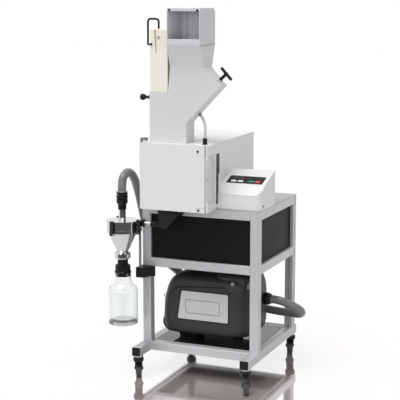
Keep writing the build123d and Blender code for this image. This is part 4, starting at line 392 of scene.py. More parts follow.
def add_plate(mesh, outline, lift, edge=0.4):
    """Add a thick plate: outline points in metres and the vector to its other face."""
    lower = [mesh.verts.new(point) for point in outline]
    upper = [mesh.verts.new(point + lift) for point in outline]
    count = len(outline)
    faces = [mesh.faces.new(lower), mesh.faces.new(upper)]
    for step in range(count):
        after = (step + 1) % count
        faces.append(mesh.faces.new((lower[step], lower[after], upper[after], upper[step])))
    rims = list({e for f in faces[:2] for e in f.edges})
    bmesh.ops.bevel(mesh, geom=rims, offset=edge * MM, segments=2, profile=0.5, affect="EDGES")


def rounded_rectangle(width, height, radius, steps=6):
    """Points of a rounded rectangle round the origin, in millimetres."""
    points = []
    for quarter, (sx, sy) in enumerate(((1, 1), (-1, 1), (-1, -1), (1, -1))):
        for step in range(steps + 1):
            angle = math.pi / 2 * (quarter + step / steps)
            x = sx * (width / 2 - radius) + radius * math.cos(angle)
            y = sy * (height / 2 - radius) + radius * math.sin(angle)
            points.append((x, y))
    return points


def line(name, points, radius, material, body, closed=False):
    """A thin round line through points in frame millimetres, such as a seam, rim or bead."""
    data = bpy.data.curves.new(name, "CURVE")
    data.dimensions = "3D"
    data.bevel_depth = radius * MM
    data.bevel_resolution = 3
    data.use_fill_caps = True
    spline = data.splines.new("POLY")
    spline.points.add(len(points) - 1)
    for control, place in zip(spline.points, points):
        control.co = (*at(*place), 1.0)
    spline.use_cyclic_u = closed
    data.materials.append(material)
    piece = bpy.data.objects.new(name, data)
    bpy.context.collection.objects.link(piece)
    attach(piece, body)
    return piece


def socket_screws(name, places, axis, radius, body, material=BLACK):
    """Socket screws with a rounded head and a hollow hexagon, at places in frame millimetres."""
    mesh = bmesh.new()
    for place in places:
        foot = at(*place)
        profile = (
            (radius * 0.9, -1.0), (radius, 0.0), (radius, radius * 0.35), (radius * 0.86, radius * 0.55),
            (radius * 0.5, radius * 0.55), (radius * 0.46, radius * 0.2), (radius * 0.1, radius * 0.18),
        )
        add_turned(mesh, profile, foot, axis, 24)
    return keep(name, mesh, material, body)


# Slot covers of the frame profiles, flush with the faces that show

POST_X = 262.0
POST_Y = 20.0
PROFILE = 40.0
COVER_WIDTH = 8.0
COVER_DEEP = 2.0
COVER_PROUD = 0.1
DECK_UNDER = 790.0
BASE_TOP = 148.0
RAIL_MIDDLES = (770.0, 525.0)
BASE_MIDDLE = 128.0
RAIL_FRONT = -118.0
FRAME_BACK = 518.0
BASE_BACK = 538.0


def slot_covers():
    """Strips that close the grooves of posts and rails, a hair proud of the profile's faces."""
    mesh = bmesh.new()
    half = COVER_WIDTH / 2
    face = PROFILE / 2
    edge = 0.1
    outer = POST_X + face
    inner = POST_X - face
    for side in (-1, 1):
        for z in (*RAIL_MIDDLES, BASE_MIDDLE):
            y = (RAIL_FRONT, BASE_BACK) if z == BASE_MIDDLE else (PROFILE, FRAME_BACK - PROFILE)
            outside = sorted((side * (outer - COVER_DEEP), side * (outer + COVER_PROUD)))
            inside = sorted((side * (inner - COVER_PROUD), side * (inner + COVER_DEEP)))
            add_block(mesh, (outside[0], y[0], z - half), (outside[1], y[1], z + half), edge)
            if z == BASE_MIDDLE:
                add_block(mesh, (inside[0], y[0], z - half), (inside[1], 0.0, z + half), edge)
        outside = sorted((side * (outer - COVER_DEEP), side * (outer + COVER_PROUD)))
        inside = sorted((side * (inner - COVER_PROUD), side * (inner + COVER_DEEP)))
        for x in (outside, inside):
            top = DECK_UNDER if x is outside else RAIL_MIDDLES[1] - face
            add_block(mesh, (x[0], POST_Y - half, BASE_TOP), (x[1], POST_Y + half, top), edge)
        front = (-COVER_PROUD, COVER_DEEP)
        x = (side * POST_X - half, side * POST_X + half)
        add_block(mesh, (x[0], front[0], BASE_TOP), (x[1], front[1], DECK_UNDER), edge)
        top = (BASE_TOP - COVER_DEEP, BASE_TOP + COVER_PROUD)
        for y in ((RAIL_FRONT, 0.0), (PROFILE, FRAME_BACK - PROFILE)):
            add_block(mesh, (x[0], y[0], top[0]), (x[1], y[1], top[1]), edge)
    for z in (*RAIL_MIDDLES, BASE_MIDDLE):
        add_block(mesh, (-inner, -COVER_PROUD, z - half), (inner, COVER_DEEP, z + half), edge)
    add_block(
        mesh, (-inner, POST_Y - half, BASE_TOP - COVER_DEEP),
        (inner, POST_Y + half, BASE_TOP + COVER_PROUD), edge,
    )
    keep("slot_covers", mesh, ALUMINIUM, "base")


slot_covers()


# Castors: black swivel dome and the hood over each wheel

# Swivel axis of each castor and the direction in which it trails, in degrees
CASTOR_SPOTS = {
    "front_left": ((-262.0, -95.0), 203.0),
    "front_right": ((262.0, -95.0), 23.0),
    "rear_left": ((-262.0, 515.0), 203.0),
    "rear_right": ((262.0, 515.0), 203.0),
}
CASTOR_TRAIL = 28.0
WHEEL_R = 37.5
FORK_HOOD_INNER_R = 39.5
FORK_HOOD_OUTER_R = 44.0
FORK_HOOD_HALF = 12.0
FORK_HOOD_START = 20      # degrees above level, behind the wheel
FORK_HOOD_STEP = 15.5
FORK_HOOD_STEPS = 9


def castor_axes(middle, turn):
    """The castor's trailing direction, its axle's direction and the wheel's middle."""
    angle = math.radians(turn)
    way = Vector((math.sin(angle), -math.cos(angle), 0.0))
    across = Vector((-way.y, way.x, 0.0))
    return way, across, Vector((*middle, WHEEL_R)) + way * CASTOR_TRAIL


def castor_dressing(corner, middle, turn):
    """A moulded dome round the swivel and a hood that closes the fork over the wheel."""
    mesh = bmesh.new()
    dome = ((15.0, 76.5), (22.0, 79.0), (24.0, 85.0), (24.5, 92.0), (22.0, 97.8), (12.0, 98.0))
    add_turned(mesh, dome, at(*middle, 0.0), (0, 0, 1), 40)
    way, across, hub = castor_axes(middle, turn)
    bends = [math.radians(FORK_HOOD_START + step * FORK_HOOD_STEP) for step in range(FORK_HOOD_STEPS)]
    outline = [(FORK_HOOD_INNER_R, bend) for bend in bends]
    outline += [(FORK_HOOD_OUTER_R, bend) for bend in reversed(bends)]
    start = hub - across * FORK_HOOD_HALF
    points = []
    for radius, bend in outline:
        points.append(at(*(start - way * radius * math.cos(bend) + Vector((0, 0, radius * math.sin(bend))))))
    add_plate(mesh, points, across * 2 * FORK_HOOD_HALF * MM, 1.2)
    keep("castor_hood_" + corner, mesh, BLACK, "fork_" + corner)


def wheel_discs(corner, middle, turn):
    """Grey hub discs on both sides of the wheel."""
    mesh = bmesh.new()
    _, across, hub = castor_axes(middle, turn)
    for side in (-1, 1):
        profile = ((29.0, 9.0), (29.0, 12.6), (26.0, 13.4), (14.0, 12.9), (12.0, 13.6), (6.5, 13.6))
        add_turned(mesh, profile, at(*hub), across * side, 40)
    keep("wheel_discs_" + corner, mesh, WHEEL_CORE, "wheel_" + corner)


for corner, (middle, turn) in CASTOR_SPOTS.items():
    castor_dressing(corner, middle, turn)
    wheel_discs(corner, middle, turn)


# Door, hinge side and housing

DOOR_FACE = -120.2
DOOR_FOLD_X = 75.2        # where the door's front turns into its hinge side
DOOR_SEAM_Z = 815.0       # upper edge of the door's lower hinge corner
SIDE_FACE = 82.0          # right side of the housing

socket_screws("door_screws", ((43.0, DOOR_FACE, 1061.0), (46.0, DOOR_FACE, 803.0)), (0, -1, 0), 5.0, "door")
line(
    "door_corner_seam",
    ((38.0, DOOR_FACE, 792.5), (38.0, DOOR_FACE, 813.0), (75.0, DOOR_FACE, DOOR_SEAM_Z)),
    0.6, LATCH_GREY, "door",
)
# A grey line painted along the door's fold as the shade of its edge
line(
    "door_fold_painted_shade",
    ((DOOR_FOLD_X, DOOR_FACE + 0.3, DOOR_SEAM_Z), (DOOR_FOLD_X, DOOR_FACE + 0.3, 1086.0)),
    0.5, PRINT, "door",
)
# A grey line painted along the recess's upper edge as shade
line(
    "recess_edge_painted_shade",
    ((SIDE_FACE + 0.1, -93.0, 1041.0), (SIDE_FACE + 0.1, -60.0, 1040.0), (SIDE_FACE + 0.1, -16.0, 1039.0)),
    0.7, PRINT, "base",
)


def side_strip():
    """The black guide strip in the housing's right side, and the painted covers round it."""
    strip = bmesh.new()
    add_block(strip, (79.4, -4.6, 798.6), (SIDE_FACE + 0.4, 21.6, 1036.6), 0.8)
    add_block(strip, (SIDE_FACE, -5.0, 795.0), (SIDE_FACE + 1.2, 12.8, 1038.0), 0.4)
    add_block(strip, (SIDE_FACE, 12.8, 949.4), (SIDE_FACE + 1.2, 31.0, 1038.0), 0.4)
    keep("side_guide_strip", strip, BLACK, "base")
    cover = bmesh.new()
    add_block(cover, (81.6, -17.0, 797.0), (83.2, -6.4, 1039.0), 0.5)
    for foot, top in ((1043.0, 1087.0), (794.5, 816.0)):
        add_block(cover, (81.6, -96.0, foot), (83.4, 23.5, top), 1.0)
    keep("side_hinge_cover", cover, PAINT, "base")


side_strip()
socket_screws("recess_screw", ((81.0, -99.0, 936.0),), (1, 0, 0), 2.2, "base", SEAM)


GRIP_TOP = (-62.0, 1000.0, 24.0, 34.0)      # centre y and z, half width and half height of the upper arc
GRIP_FOOT = (-50.0, 850.0, 12.0, 24.0)      # the same for the lower arc


def grip_hollow():
    """A grey curved line painted as the shade round the finger hollow at the door's hinge side."""
    points = []
    y, z, width, height = GRIP_TOP
    for step in range(9):
        bend = math.radians(90 - step * 11.25)
        points.append((SIDE_FACE + 0.2, y + width * math.cos(bend), z + height * math.sin(bend)))
    y, z, width, height = GRIP_FOOT
    for step in range(7):
        bend = math.radians(step * 15.0)
        points.append((SIDE_FACE + 0.2, y + width * math.cos(bend), z - height * math.sin(bend)))
    line("grip_hollow_painted_shade", points, 0.9, LATCH_GREY, "base")


grip_hollow()


# Cable gland nut and the collar where the cable enters the chute

def cable_fittings():
    """The gland's hexagon nut, the ring under it and the sleeve at the chute."""
    mesh = bmesh.new()
    nut = ((9.5, 0.0), (11.0, 1.0), (11.0, 7.0), (9.5, 8.0), (6.3, 9.5))
    add_turned(mesh, nut, at(*GLAND, 1106.0), (0, 0, 1), 6)
    ring = ((11.5, 0.0), (12.0, 0.8), (12.0, 3.0), (10.0, 4.0))
    add_turned(mesh, ring, at(*GLAND, 1088.2), (0, 0, 1), 32)
    keep("gland_nut", mesh, BLACK, "base")
    mesh = bmesh.new()
    sleeve = ((7.2, 0.0), (8.0, 1.0), (8.0, 9.0), (6.4, 11.0))
    add_turned(mesh, sleeve, at(19.0, -45.2, 1217.0), (0.72, 0.0, -0.69), 28)
    keep("lead_sleeve", mesh, LATCH_GREY, "hopper")


cable_fittings()


# Hood, chute and plunger

HOOD_FRONT = -125.0
PLUNGER_FRONT = -77.5

socket_screws(
    "hood_screws", ((-87.0, HOOD_FRONT, 1664.5), (43.0, HOOD_FRONT, 1662.5)), (0, -1, 0), 5.0, "hopper",
)
socket_screws("elbow_screw", ((121.0, -80.0, 1366.0),), (0, -1, 0), 2.4, "hopper", SEAM)


LINER_BACK = 22.0
LINER_TOP = 1658.6
APRON_FRONT = -40.0


def hood_liner():
    """The bright liner inside the hood, with its two upright beads and the sloping apron."""
    mesh = bmesh.new()
    add_block(mesh, (-94.6, LINER_BACK, 1519.0), (51.6, LINER_BACK + 2.0, LINER_TOP), 0.5)
    for x in (-94.8, 50.8):
        add_block(mesh, (x, -118.0, 1543.0), (x + 1.0, LINER_BACK, LINER_TOP), 0.4)
    apron = [
        at(-52.0, LINER_BACK - 0.5, 1560.0), at(50.5, LINER_BACK - 0.5, 1560.0),
        at(50.5, APRON_FRONT, 1524.0), at(-52.0, APRON_FRONT, 1524.0),
    ]
    add_plate(mesh, apron, Vector((0.0, 0.0, -0.0012)))
    keep("hood_liner", mesh, LINER, "hopper")
    bead_y = LINER_BACK - 1.5
    beads = (("liner_bead_left", -66.0, 1656.0, 1530.0), ("liner_bead_right", -2.0, 1648.0, 1556.0))
    for name, x, top, foot in beads:
        line(name, ((x, bead_y, foot), (x, bead_y, top)), 1.6, STEEL, "hopper")


hood_liner()
line(
    "hood_lower_lip",
    ((56.4, -124.0, 1512.0), (57.0, -60.0, 1514.0), (57.0, 10.0, 1516.5), (56.4, 43.0, 1518.0)),
    1.3, PRINT, "hopper",
)


def plunger_details():
    """The ringed screw, and brown painted shade at the notch by the handle and down the right side."""
    mesh = bmesh.new()
    ring = ((7.6, -0.5), (8.2, 0.4), (7.6, 1.4), (5.6, 1.5), (5.2, 0.6), (1.6, 0.5), (1.2, 1.0), (0.4, 1.0))
    add_turned(mesh, ring, at(-160.5, PLUNGER_FRONT, 1545.0), (0, -1, 0), 32)
    keep("plunger_screw", mesh, CHROME, "plunger_unit")
    # A thin brown plate painted as the shade in the notch by the handle
    mesh = bmesh.new()
    outline = [
        at(-181.0, PLUNGER_FRONT, 1579.0), at(-172.5, PLUNGER_FRONT, 1579.5),
        at(-170.0, PLUNGER_FRONT, 1478.0), at(-174.0, PLUNGER_FRONT, 1476.0),
    ]
    add_plate(mesh, outline, Vector((0.0, -0.0005, 0.0)), 0.15)
    keep("plunger_notch_painted_shade", mesh, CREAM_PAINTED_SHADE, "plunger_unit")
    # A thin brown strip painted on the plunger's right side as the shade in the chute's slot
    mesh = bmesh.new()
    add_block(mesh, (-118.3, -74.0, 1296.0), (-117.2, 3.0, 1562.0), 0.3)
    keep("plunger_side_painted_shade", mesh, CREAM_PAINTED_SHADE, "plunger_unit")


plunger_details()


HANDLE_RIGHT = -178.0
HANDLE_LEFT = -230.0
HANDLE_BEND_R = 13.0
HANDLE_BEND_Z = 1611.0


def bent_handle():
    """The rubber-covered rod bent over the plunger's top, with its lower end turned round to the front."""
    depth = HOPPER_Y
    points = [(HANDLE_RIGHT, depth, 1577.0), (HANDLE_RIGHT, depth, HANDLE_BEND_Z)]
    for middle_x, start in ((HANDLE_RIGHT - HANDLE_BEND_R, 0.0), (HANDLE_LEFT + HANDLE_BEND_R, 90.0)):
        for step in range(7):
            bend = math.radians(start + step * 15.0)
            x = middle_x + HANDLE_BEND_R * math.cos(bend)
            points.append((x, depth, HANDLE_BEND_Z + HANDLE_BEND_R * math.sin(bend)))
    points += [
        (HANDLE_LEFT, depth, 1530.0), (-229.6, depth - 3.0, 1522.0), (-227.6, depth - 9.0, 1517.0),
        (-222.0, depth - 20.0, 1515.0), (-212.0, depth - 33.0, 1515.0), (-201.0, depth - 42.0, 1515.0),
        (-190.0, depth - 43.5, 1515.0),
    ]
    handle = line("bent_handle", points, 4.6, BLACK, "plunger_unit")
    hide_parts("plunger_handle")


bent_handle()


def knob():
    """The pull knob with its waisted neck."""
    mesh = bmesh.new()
    profile = (
        (4.0, 0.0), (9.5, 0.4), (10.2, 2.5), (9.0, 8.0), (6.6, 15.0), (6.4, 22.0), (7.6, 27.0), (11.4, 31.0),
        (14.0, 36.0), (14.6, 42.0), (13.4, 47.5), (10.4, 51.0), (5.0, 52.3),
    )
    add_turned(mesh, profile, at(-216.5, HOPPER_Y, 1281.0), (-1, 0, 0), 40)
    keep("pull_knob", mesh, BLACK, "knob")


knob()


T_FOOT = Vector((107.1, HOPPER_Y, 1361.8))
T_WAY = Vector((0.739, 0.0, 0.673))
T_BAR = Vector((-0.673, 0.0, 0.739))
T_RISE = 46.0
T_HALF = 36.0


def t_grip():
    """The moulded grip of the clamping screw, thicker than the screw inside it."""
    mesh = bmesh.new()
    stem = ((7.5, 8.6), (8.2, 10.0), (7.4, 19.0), (6.8, 31.0), (8.4, 40.0), (9.0, 47.0), (6.0, 52.0))
    add_turned(mesh, stem, at(*T_FOOT), T_WAY, 32)
    bar_end = T_FOOT + T_WAY * T_RISE - T_BAR * T_HALF
    bar = (
        (3.0, 0.0), (6.0, 1.6), (6.8, 6.0), (6.4, 20.0), (7.2, 36.0), (6.4, 52.0), (6.8, 66.0), (6.0, 70.4),
        (3.0, 72.0),
    )
    add_turned(mesh, bar, at(*bar_end), T_BAR, 32)
    keep("t_grip", mesh, BLACK, "t_screw")


t_grip()


# Control box

PANEL_FOOT = (55.0, 897.0)          # y and z where the panel's slope begins
PANEL_WAY = (0.942, 0.3355)         # y and z of one millimetre up the slope


def control_details():
    """Side screw, a grey line painted as shade along the box's fold, and the panel's two lamps and two plain
    lines.
    """
    socket_screws("control_side_screw", ((285.2, 46.0, 811.0),), (1, 0, 0), 4.0, "base")
    crease = (
        (83.0, 12.9, 859.5), (200.0, 12.9, 858.5), (252.0, 12.9, 859.0), (266.0, 16.0, 863.0),
        (277.0, 24.0, 871.0), (284.6, 36.0, 884.0),
    )
    # Grey line painted along the fold as its shade
    line("control_fold_painted_shade", crease, 0.45, LATCH_GREY, "base")
    mesh = bmesh.new()
    dome = ((2.8, -0.4), (2.8, 0.3), (2.2, 0.9), (1.0, 1.2), (0.3, 1.25))
    for x in (245.0, 259.0):
        add_turned(mesh, dome, at(x, 126.6, 922.8), (0.0, -PANEL_WAY[1], PANEL_WAY[0]), 20)
    keep("panel_lamps", mesh, LATCH_GREY, "base")
    for name, up in (("panel_line_upper", 72.0), ("panel_line_lower", 66.0)):
        y = PANEL_FOOT[0] + up * PANEL_WAY[0]
        z = PANEL_FOOT[1] + 0.2 + up * PANEL_WAY[1]
        line(name, ((115.0, y, z), (165.0, y, z)), 0.4, PRINT, "base")


control_details()


# Suction unit: the moulded shell round the tank and head

def shell_ring(mesh, z, left, right, front, back, corners):
    """One level section of the shell, with its own radius at each corner."""
    places = (
        (right - corners[0], back - corners[0], corners[0], 0),
        (left + corners[1], back - corners[1], corners[1], 1),
        (left + corners[2], front + corners[2], corners[2], 2),
        (right - corners[3], front + corners[3], corners[3], 3),
    )
    ring = []
    for x, y, radius, quarter in places:
        for step in range(CORNER_STEPS + 1):
            angle = math.pi / 2 * (quarter + step / CORNER_STEPS)
            ring.append(mesh.verts.new(at(x + radius * math.cos(angle), y + radius * math.sin(angle), z)))
    return ring


def stack_rings(mesh, rings):
    """Join the sections, from the lowest up, into one closed form."""
    count = len(rings[0])
    for lower, upper in zip(rings, rings[1:]):
        for step in range(count):
            after = (step + 1) % count
            mesh.faces.new((lower[step], lower[after], upper[after], upper[step]))
    mesh.faces.new(rings[0])
    mesh.faces.new(rings[-1])


CORNER_STEPS = 10
UNIT_LEFT_X = -223.0
UNIT_RIGHT_X = 222.0
UNIT_FRONT_Y = 70.2
UNIT_BACK_Y = 325.0
SHELL_CORNERS = (52.0, 52.0, 46.0, 84.0)
HEAD_CORNERS = (44.0, 44.0, 44.0, 52.0)
# Height of each section, and how far it draws in at the left, the right, and the front and back
SHELL_LEVELS = (
    (178.5, 40.0, 42.0, 26.0), (181.0, 30.0, 34.0, 17.0), (187.0, 19.0, 24.0, 9.0), (197.0, 9.0, 14.0, 4.0),
    (212.0, 3.0, 7.0, 1.0), (235.0, 0.0, 2.0, 0.0), (290.0, 1.0, 0.0, 0.0), (327.0, 4.0, 0.0, 0.0),
    (357.0, 10.0, 1.0, 0.0), (392.0, 19.0, 3.0, 0.3), (412.0, 27.0, 5.0, 2.0), (431.0, 37.0, 8.0, 7.0),
    (447.0, 53.0, 12.0, 16.0), (456.0, 70.0, 16.0, 30.0), (460.0, 92.0, 22.0, 50.0),
    (462.0, 120.0, 60.0, 80.0),
)
HEAD_LEVELS = ((430.0, 0.0), (456.0, 2.0), (470.0, 9.0), (479.0, 22.0), (483.5, 40.0))
HEAD_SIDES = (34.0, 212.0, 88.0, 304.0)


def unit_shell():
    """The rounded moulded shell that stands for tank and head, with the dome for the motor."""
    mesh = bmesh.new()
    rings = []
    for z, left, right, ends in SHELL_LEVELS:
        x = (UNIT_LEFT_X + left, UNIT_RIGHT_X - right)
        y = (UNIT_FRONT_Y + ends, UNIT_BACK_Y - ends)
        rings.append(shell_ring(mesh, z, *x, *y, SHELL_CORNERS))
    stack_rings(mesh, rings)
    rings = []
    left, right, front, back = HEAD_SIDES
    for z, inset in HEAD_LEVELS:
        rings.append(
            shell_ring(mesh, z, left + inset, right - inset, front + inset, back - inset, HEAD_CORNERS)
        )
    stack_rings(mesh, rings)
    shell = keep("unit_shell", mesh, SHELL, "base", 40.0)
    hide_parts("suction_tank", "suction_head")


unit_shell()


PLATE_CORNERS = ((-141.0, 251.0), (113.5, 251.0), (113.5, 388.5), (-121.0, 388.5))
PLATE_CORNER_CUT = 11.0
PLATE_FRAME = (168.0, 62.0, 12.0)       # width, height and corner radius of the raised frame
PLATE_FRAME_AT = (-14.0, 315.0)
PLATE_FRAME_LEAN = 0.06
BEAD_ABOVE_SEAM = 5.2
CLIP_THICK = 0.006                      # metres


def head_seam():
    """The joint between tank and head across the front, and the raised bead above it, lighter grey as a
    painted highlight.
    """
    y = UNIT_FRONT_Y - 0.2
    seam = (
        (-178.0, y + 1, 370.0), (-160.0, y, 386.0), (-146.0, y, 397.0), (-130.0, y, 403.0),
        (84.0, y + 0.5, 416.0), (97.0, y + 0.5, 411.0), (108.0, y + 0.5, 398.0), (120.0, y + 1, 396.0),
        (168.0, y + 10, 400.0), (196.0, y + 26, 408.0),
    )
    line("head_seam", seam, 2.5, SEAM, "base")
    bead = [(x, place, z + BEAD_ABOVE_SEAM) for x, place, z in seam]
    # The bead is raised; its lighter grey is a painted highlight
    line("head_bead_painted_highlight", bead, 1.9, WHEEL, "base")


def plate_lines():
    """The dark rim round the silver plate and the plain raised frame on it."""
    rim = []
    for index, (x, z) in enumerate(PLATE_CORNERS):
        before = PLATE_CORNERS[index - 1]
        after = PLATE_CORNERS[(index + 1) % 4]
        here = Vector((x, z))
        way_in = (Vector(before) - here).normalized() * PLATE_CORNER_CUT
        way_out = (Vector(after) - here).normalized() * PLATE_CORNER_CUT
        for step in range(7):
            t = step / 6
            bend = here + way_in * (1 - t) ** 2 + way_out * t**2
            rim.append((bend.x, UNIT_FRONT_Y - 0.8, bend.y))
    line("plate_rim", rim, 2.4, SEAM, "base", True)
    frame_line = []
    for dx, dz in rounded_rectangle(*PLATE_FRAME):
        x = PLATE_FRAME_AT[0] + dx - dz * PLATE_FRAME_LEAN
        frame_line.append((x, UNIT_FRONT_Y - 1.3, PLATE_FRAME_AT[1] + dz))
    line("plate_frame", frame_line, 1.8, PRINT, "base", True)


def unit_fittings():
    """Feet, carrying hook, clip and the cuff where the hose goes in."""
    mesh = bmesh.new()
    foot = ((17.0, 0.0), (19.0, 1.5), (19.0, 24.0), (24.0, 33.0))
    for y in (100.0, 296.0):
        for x in (-120.0, 150.0):
            add_turned(mesh, foot, at(x, y, 148.2), (0, 0, 1), 28)
    keep("unit_feet", mesh, RUBBER, "base")
    hook = (
        (-214.0, 118.0, 330.0), (-221.0, 118.0, 332.0), (-229.0, 120.0, 341.0), (-228.0, 120.0, 347.0),
        (-217.0, 120.0, 352.0),
    )
    line("unit_hook", hook, 2.2, STEEL, "base")
    mesh = bmesh.new()
    clip = [
        at(193.0, 92.0, 414.0), at(213.0, 106.0, 416.0), at(212.0, 104.0, 452.0), at(203.0, 98.0, 450.0),
        at(193.0, 91.0, 430.0),
    ]
    add_plate(mesh, clip, Vector((0.0, CLIP_THICK, 0.0)), 1.0)
    keep("unit_clip", mesh, LATCH_GREY, "base")
    mesh = bmesh.new()
    cuff = (
        (20.0, 0.0), (27.5, 0.5), (28.5, 3.0), (28.5, 18.0), (26.0, 22.0), (23.0, 31.0), (19.5, 32.0),
    )
    add_turned(mesh, cuff, at(223.5, 250.0, 340.0), (1, 0, 0), 44)
    keep("hose_cuff", mesh, RUBBER, "base")


head_seam()
plate_lines()
unit_fittings()


# Cyclone dressing

def cyclone_trim():
    """Ring, screw and ribs of the coupling, the lid's edge, the pipe's sleeve and the bottle's heel."""
    mesh = bmesh.new()
    ring = ((19.2, 0.0), (24.6, 0.0), (25.4, 1.2), (24.8, 3.0), (19.8, 3.6))
    add_turned(mesh, ring, at(*CYCLONE, 857.5), (0, 0, 1), 40)
    keep("coupling_ring", mesh, PRINT, "base")
    socket_screws(
        "coupling_screw", ((-347.0, -116.9, 846.0),), (-0.4, -0.92, 0), 2.6, "base", CHROME,
    )
    mesh = bmesh.new()
    rib = ((25.5, 0.0), (26.3, 1.0), (26.3, 5.0), (25.5, 6.0))
    for z in (812.0, 834.0):
        add_turned(mesh, rib, at(*CYCLONE, z), (0, 0, 1), 44)
    keep("coupling_ribs", mesh, RUBBER, "base")
    mesh = bmesh.new()
    rim = ((71.0, 0.0), (73.2, 0.5), (73.9, 2.5), (73.2, 4.5), (71.0, 5.0))
    add_turned(mesh, rim, at(*CYCLONE, 724.6), (0, 0, 1), 72)
    keep("lid_rolled_edge", mesh, CHROME, "base")
    mesh = bmesh.new()
    sleeve = ((17.0, 0.0), (17.5, 1.0), (17.5, 18.0), (16.0, 19.0))
    add_turned(mesh, sleeve, at(-266.0, -48.6, 712.0), (1, 0, 0), 36)
    keep("pipe_sleeve", mesh, RUBBER, "base")


    mesh = bmesh.new()
    heel = ((58.0, 0.0), (61.5, 1.5), (62.0, 5.0), (60.0, 10.0), (50.0, 13.0), (20.0, 11.0), (0.5, 10.5))
    add_turned(mesh, heel, at(*CYCLONE, 257.5), (0, 0, 1), 64)
    keep("bottle_heel", mesh, BASE_GLASS, "bottle")


cyclone_trim()


# Floor, backdrop and light

def mixed(tree, first, second, share):
    """A blend of two shaders, by a number or by another node's output."""
    node = tree.nodes.new("ShaderNodeMixShader")
    if isinstance(share, float):
        node.inputs["Fac"].default_value = share
    else:
        tree.links.new(share, node.inputs["Fac"])
    tree.links.new(first, node.inputs[1])
    tree.links.new(second, node.inputs[2])
    return node.outputs["Shader"]


FLOOR_HALF = 30.0
FLOOR_GLOSS = 0.82        # share of the mirror image beside the matt floor
TO_VIEWER = (0.39, -0.92, 0.0)
DARK_FROM = 0.9           # where the floor that metal mirrors begins to darken, in metres ahead
DARK_TO = 1.5


def stage_floor():
    """A wide white floor with shadow and mirror image; what metal mirrors of it is dark ahead."""
    mesh = bmesh.new()
    half = FLOOR_HALF
    corners = []
    for x, y in ((-half, -half), (half, -half), (half, half), (-half, half)):
        corners.append(mesh.verts.new((x, y, 0.0)))
    mesh.faces.new(corners)
    data = bpy.data.meshes.new("floor")
    mesh.to_mesh(data)
    mesh.free()
    floor = bpy.data.objects.new("floor", data)
    bpy.context.collection.objects.link(floor)
    material = bpy.data.materials.new("studio_floor")
    material.use_nodes = True
    tree = material.node_tree
    tree.nodes.remove(tree.nodes["Principled BSDF"])
    output = tree.nodes["Material Output"]
    path = tree.nodes.new("ShaderNodeLightPath")

    def matt(colour):
        """The output of a plain diffuse shader."""
        node = tree.nodes.new("ShaderNodeBsdfDiffuse")
        node.inputs["Color"].default_value = (*colour, 1.0)
        return node.outputs["BSDF"]

    gloss = tree.nodes.new("ShaderNodeBsdfGlossy")
    gloss.inputs["Color"].default_value = (1.0, 1.0, 1.0, 1.0)
    gloss.inputs["Roughness"].default_value = 0.06
    seen = mixed(tree, matt((1.0, 0.87, 0.84)), gloss.outputs["BSDF"], FLOOR_GLOSS)
    bounced = mixed(tree, seen, matt((0.58, 0.58, 0.585)), path.outputs["Is Diffuse Ray"])
    place = tree.nodes.new("ShaderNodeTexCoord")
    ahead = tree.nodes.new("ShaderNodeVectorMath")
    ahead.operation = "DOT_PRODUCT"
    ahead.inputs[1].default_value = TO_VIEWER
    tree.links.new(place.outputs["Object"], ahead.inputs[0])
    shading = tree.nodes.new("ShaderNodeMapRange")
    shading.inputs["From Min"].default_value = DARK_FROM
    shading.inputs["From Max"].default_value = DARK_TO
    shading.inputs["To Min"].default_value = 0.85
    shading.inputs["To Max"].default_value = 0.1
    tree.links.new(ahead.outputs["Value"], shading.inputs["Value"])
    in_metal = tree.nodes.new("ShaderNodeBsdfDiffuse")
    tree.links.new(shading.outputs["Result"], in_metal.inputs["Color"])
    surface = mixed(tree, bounced, in_metal.outputs["BSDF"], path.outputs["Is Glossy Ray"])
    tree.links.new(surface, output.inputs["Surface"])
    data.materials.append(material)


DARK_WAY = (0.28, -0.66, 0.70)      # direction of the dark patch that metal mirrors
DARK_EDGE = (0.86, 0.93)            # cosines between which the patch begins
SOFT_FILL = 0.46


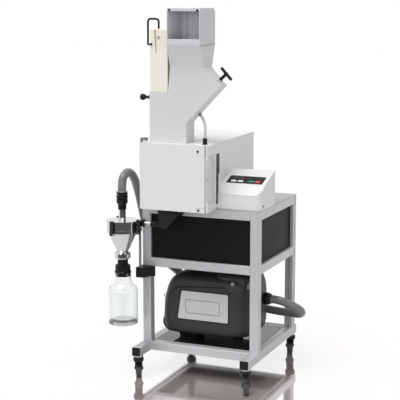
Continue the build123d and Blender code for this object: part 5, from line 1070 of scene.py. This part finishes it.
def studio_world():
    """White to the camera, a white room with one dark patch to mirrors, and a soft fill for the rest."""
    world = bpy.data.worlds.new("studio")
    bpy.context.scene.world = world
    world.use_nodes = True
    tree = world.node_tree
    tree.nodes.clear()
    output = tree.nodes.new("ShaderNodeOutputWorld")
    path = tree.nodes.new("ShaderNodeLightPath")
    place = tree.nodes.new("ShaderNodeTexCoord")
    ahead = tree.nodes.new("ShaderNodeVectorMath")
    ahead.operation = "DOT_PRODUCT"
    ahead.inputs[1].default_value = DARK_WAY
    tree.links.new(place.outputs["Generated"], ahead.inputs[0])
    ramp = tree.nodes.new("ShaderNodeValToRGB")
    ramp.color_ramp.elements[0].position = DARK_EDGE[0]
    ramp.color_ramp.elements[0].color = (1.0, 1.0, 1.0, 1.0)
    ramp.color_ramp.elements[1].position = DARK_EDGE[1]
    ramp.color_ramp.elements[1].color = (0.06, 0.06, 0.062, 1.0)
    tree.links.new(ahead.outputs["Value"], ramp.inputs["Fac"])

    def background(strength):
        """A white background of the given strength."""
        node = tree.nodes.new("ShaderNodeBackground")
        node.inputs["Color"].default_value = (1.0, 1.0, 1.0, 1.0)
        node.inputs["Strength"].default_value = strength
        return node

    mirror = background(1.0)
    tree.links.new(ramp.outputs["Color"], mirror.inputs["Color"])
    unseen = mixed(
        tree, background(SOFT_FILL).outputs["Background"], mirror.outputs["Background"],
        path.outputs["Is Glossy Ray"],
    )
    seen = tree.nodes.new("ShaderNodeMath")
    seen.operation = "MAXIMUM"
    tree.links.new(path.outputs["Is Camera Ray"], seen.inputs[0])
    tree.links.new(path.outputs["Is Transmission Ray"], seen.inputs[1])
    surface = mixed(tree, unseen, background(1.0).outputs["Background"], seen.outputs["Value"])
    tree.links.new(surface, output.inputs["Surface"])


def soft_sun(name, towards, strength, spread):
    """A distant soft lamp that shines from the given direction."""
    data = bpy.data.lights.new(name, "SUN")
    data.energy = strength
    data.angle = math.radians(spread)
    lamp = bpy.data.objects.new(name, data)
    lamp.rotation_euler = Vector(towards).to_track_quat("Z", "Y").to_euler()
    bpy.context.collection.objects.link(lamp)


stage_floor()
studio_world()
soft_sun("key", (-0.14, -0.30, 0.95), 2.2, 40.0)
soft_sun("front_fill", (0.30, -0.90, 0.25), 0.6, 60.0)
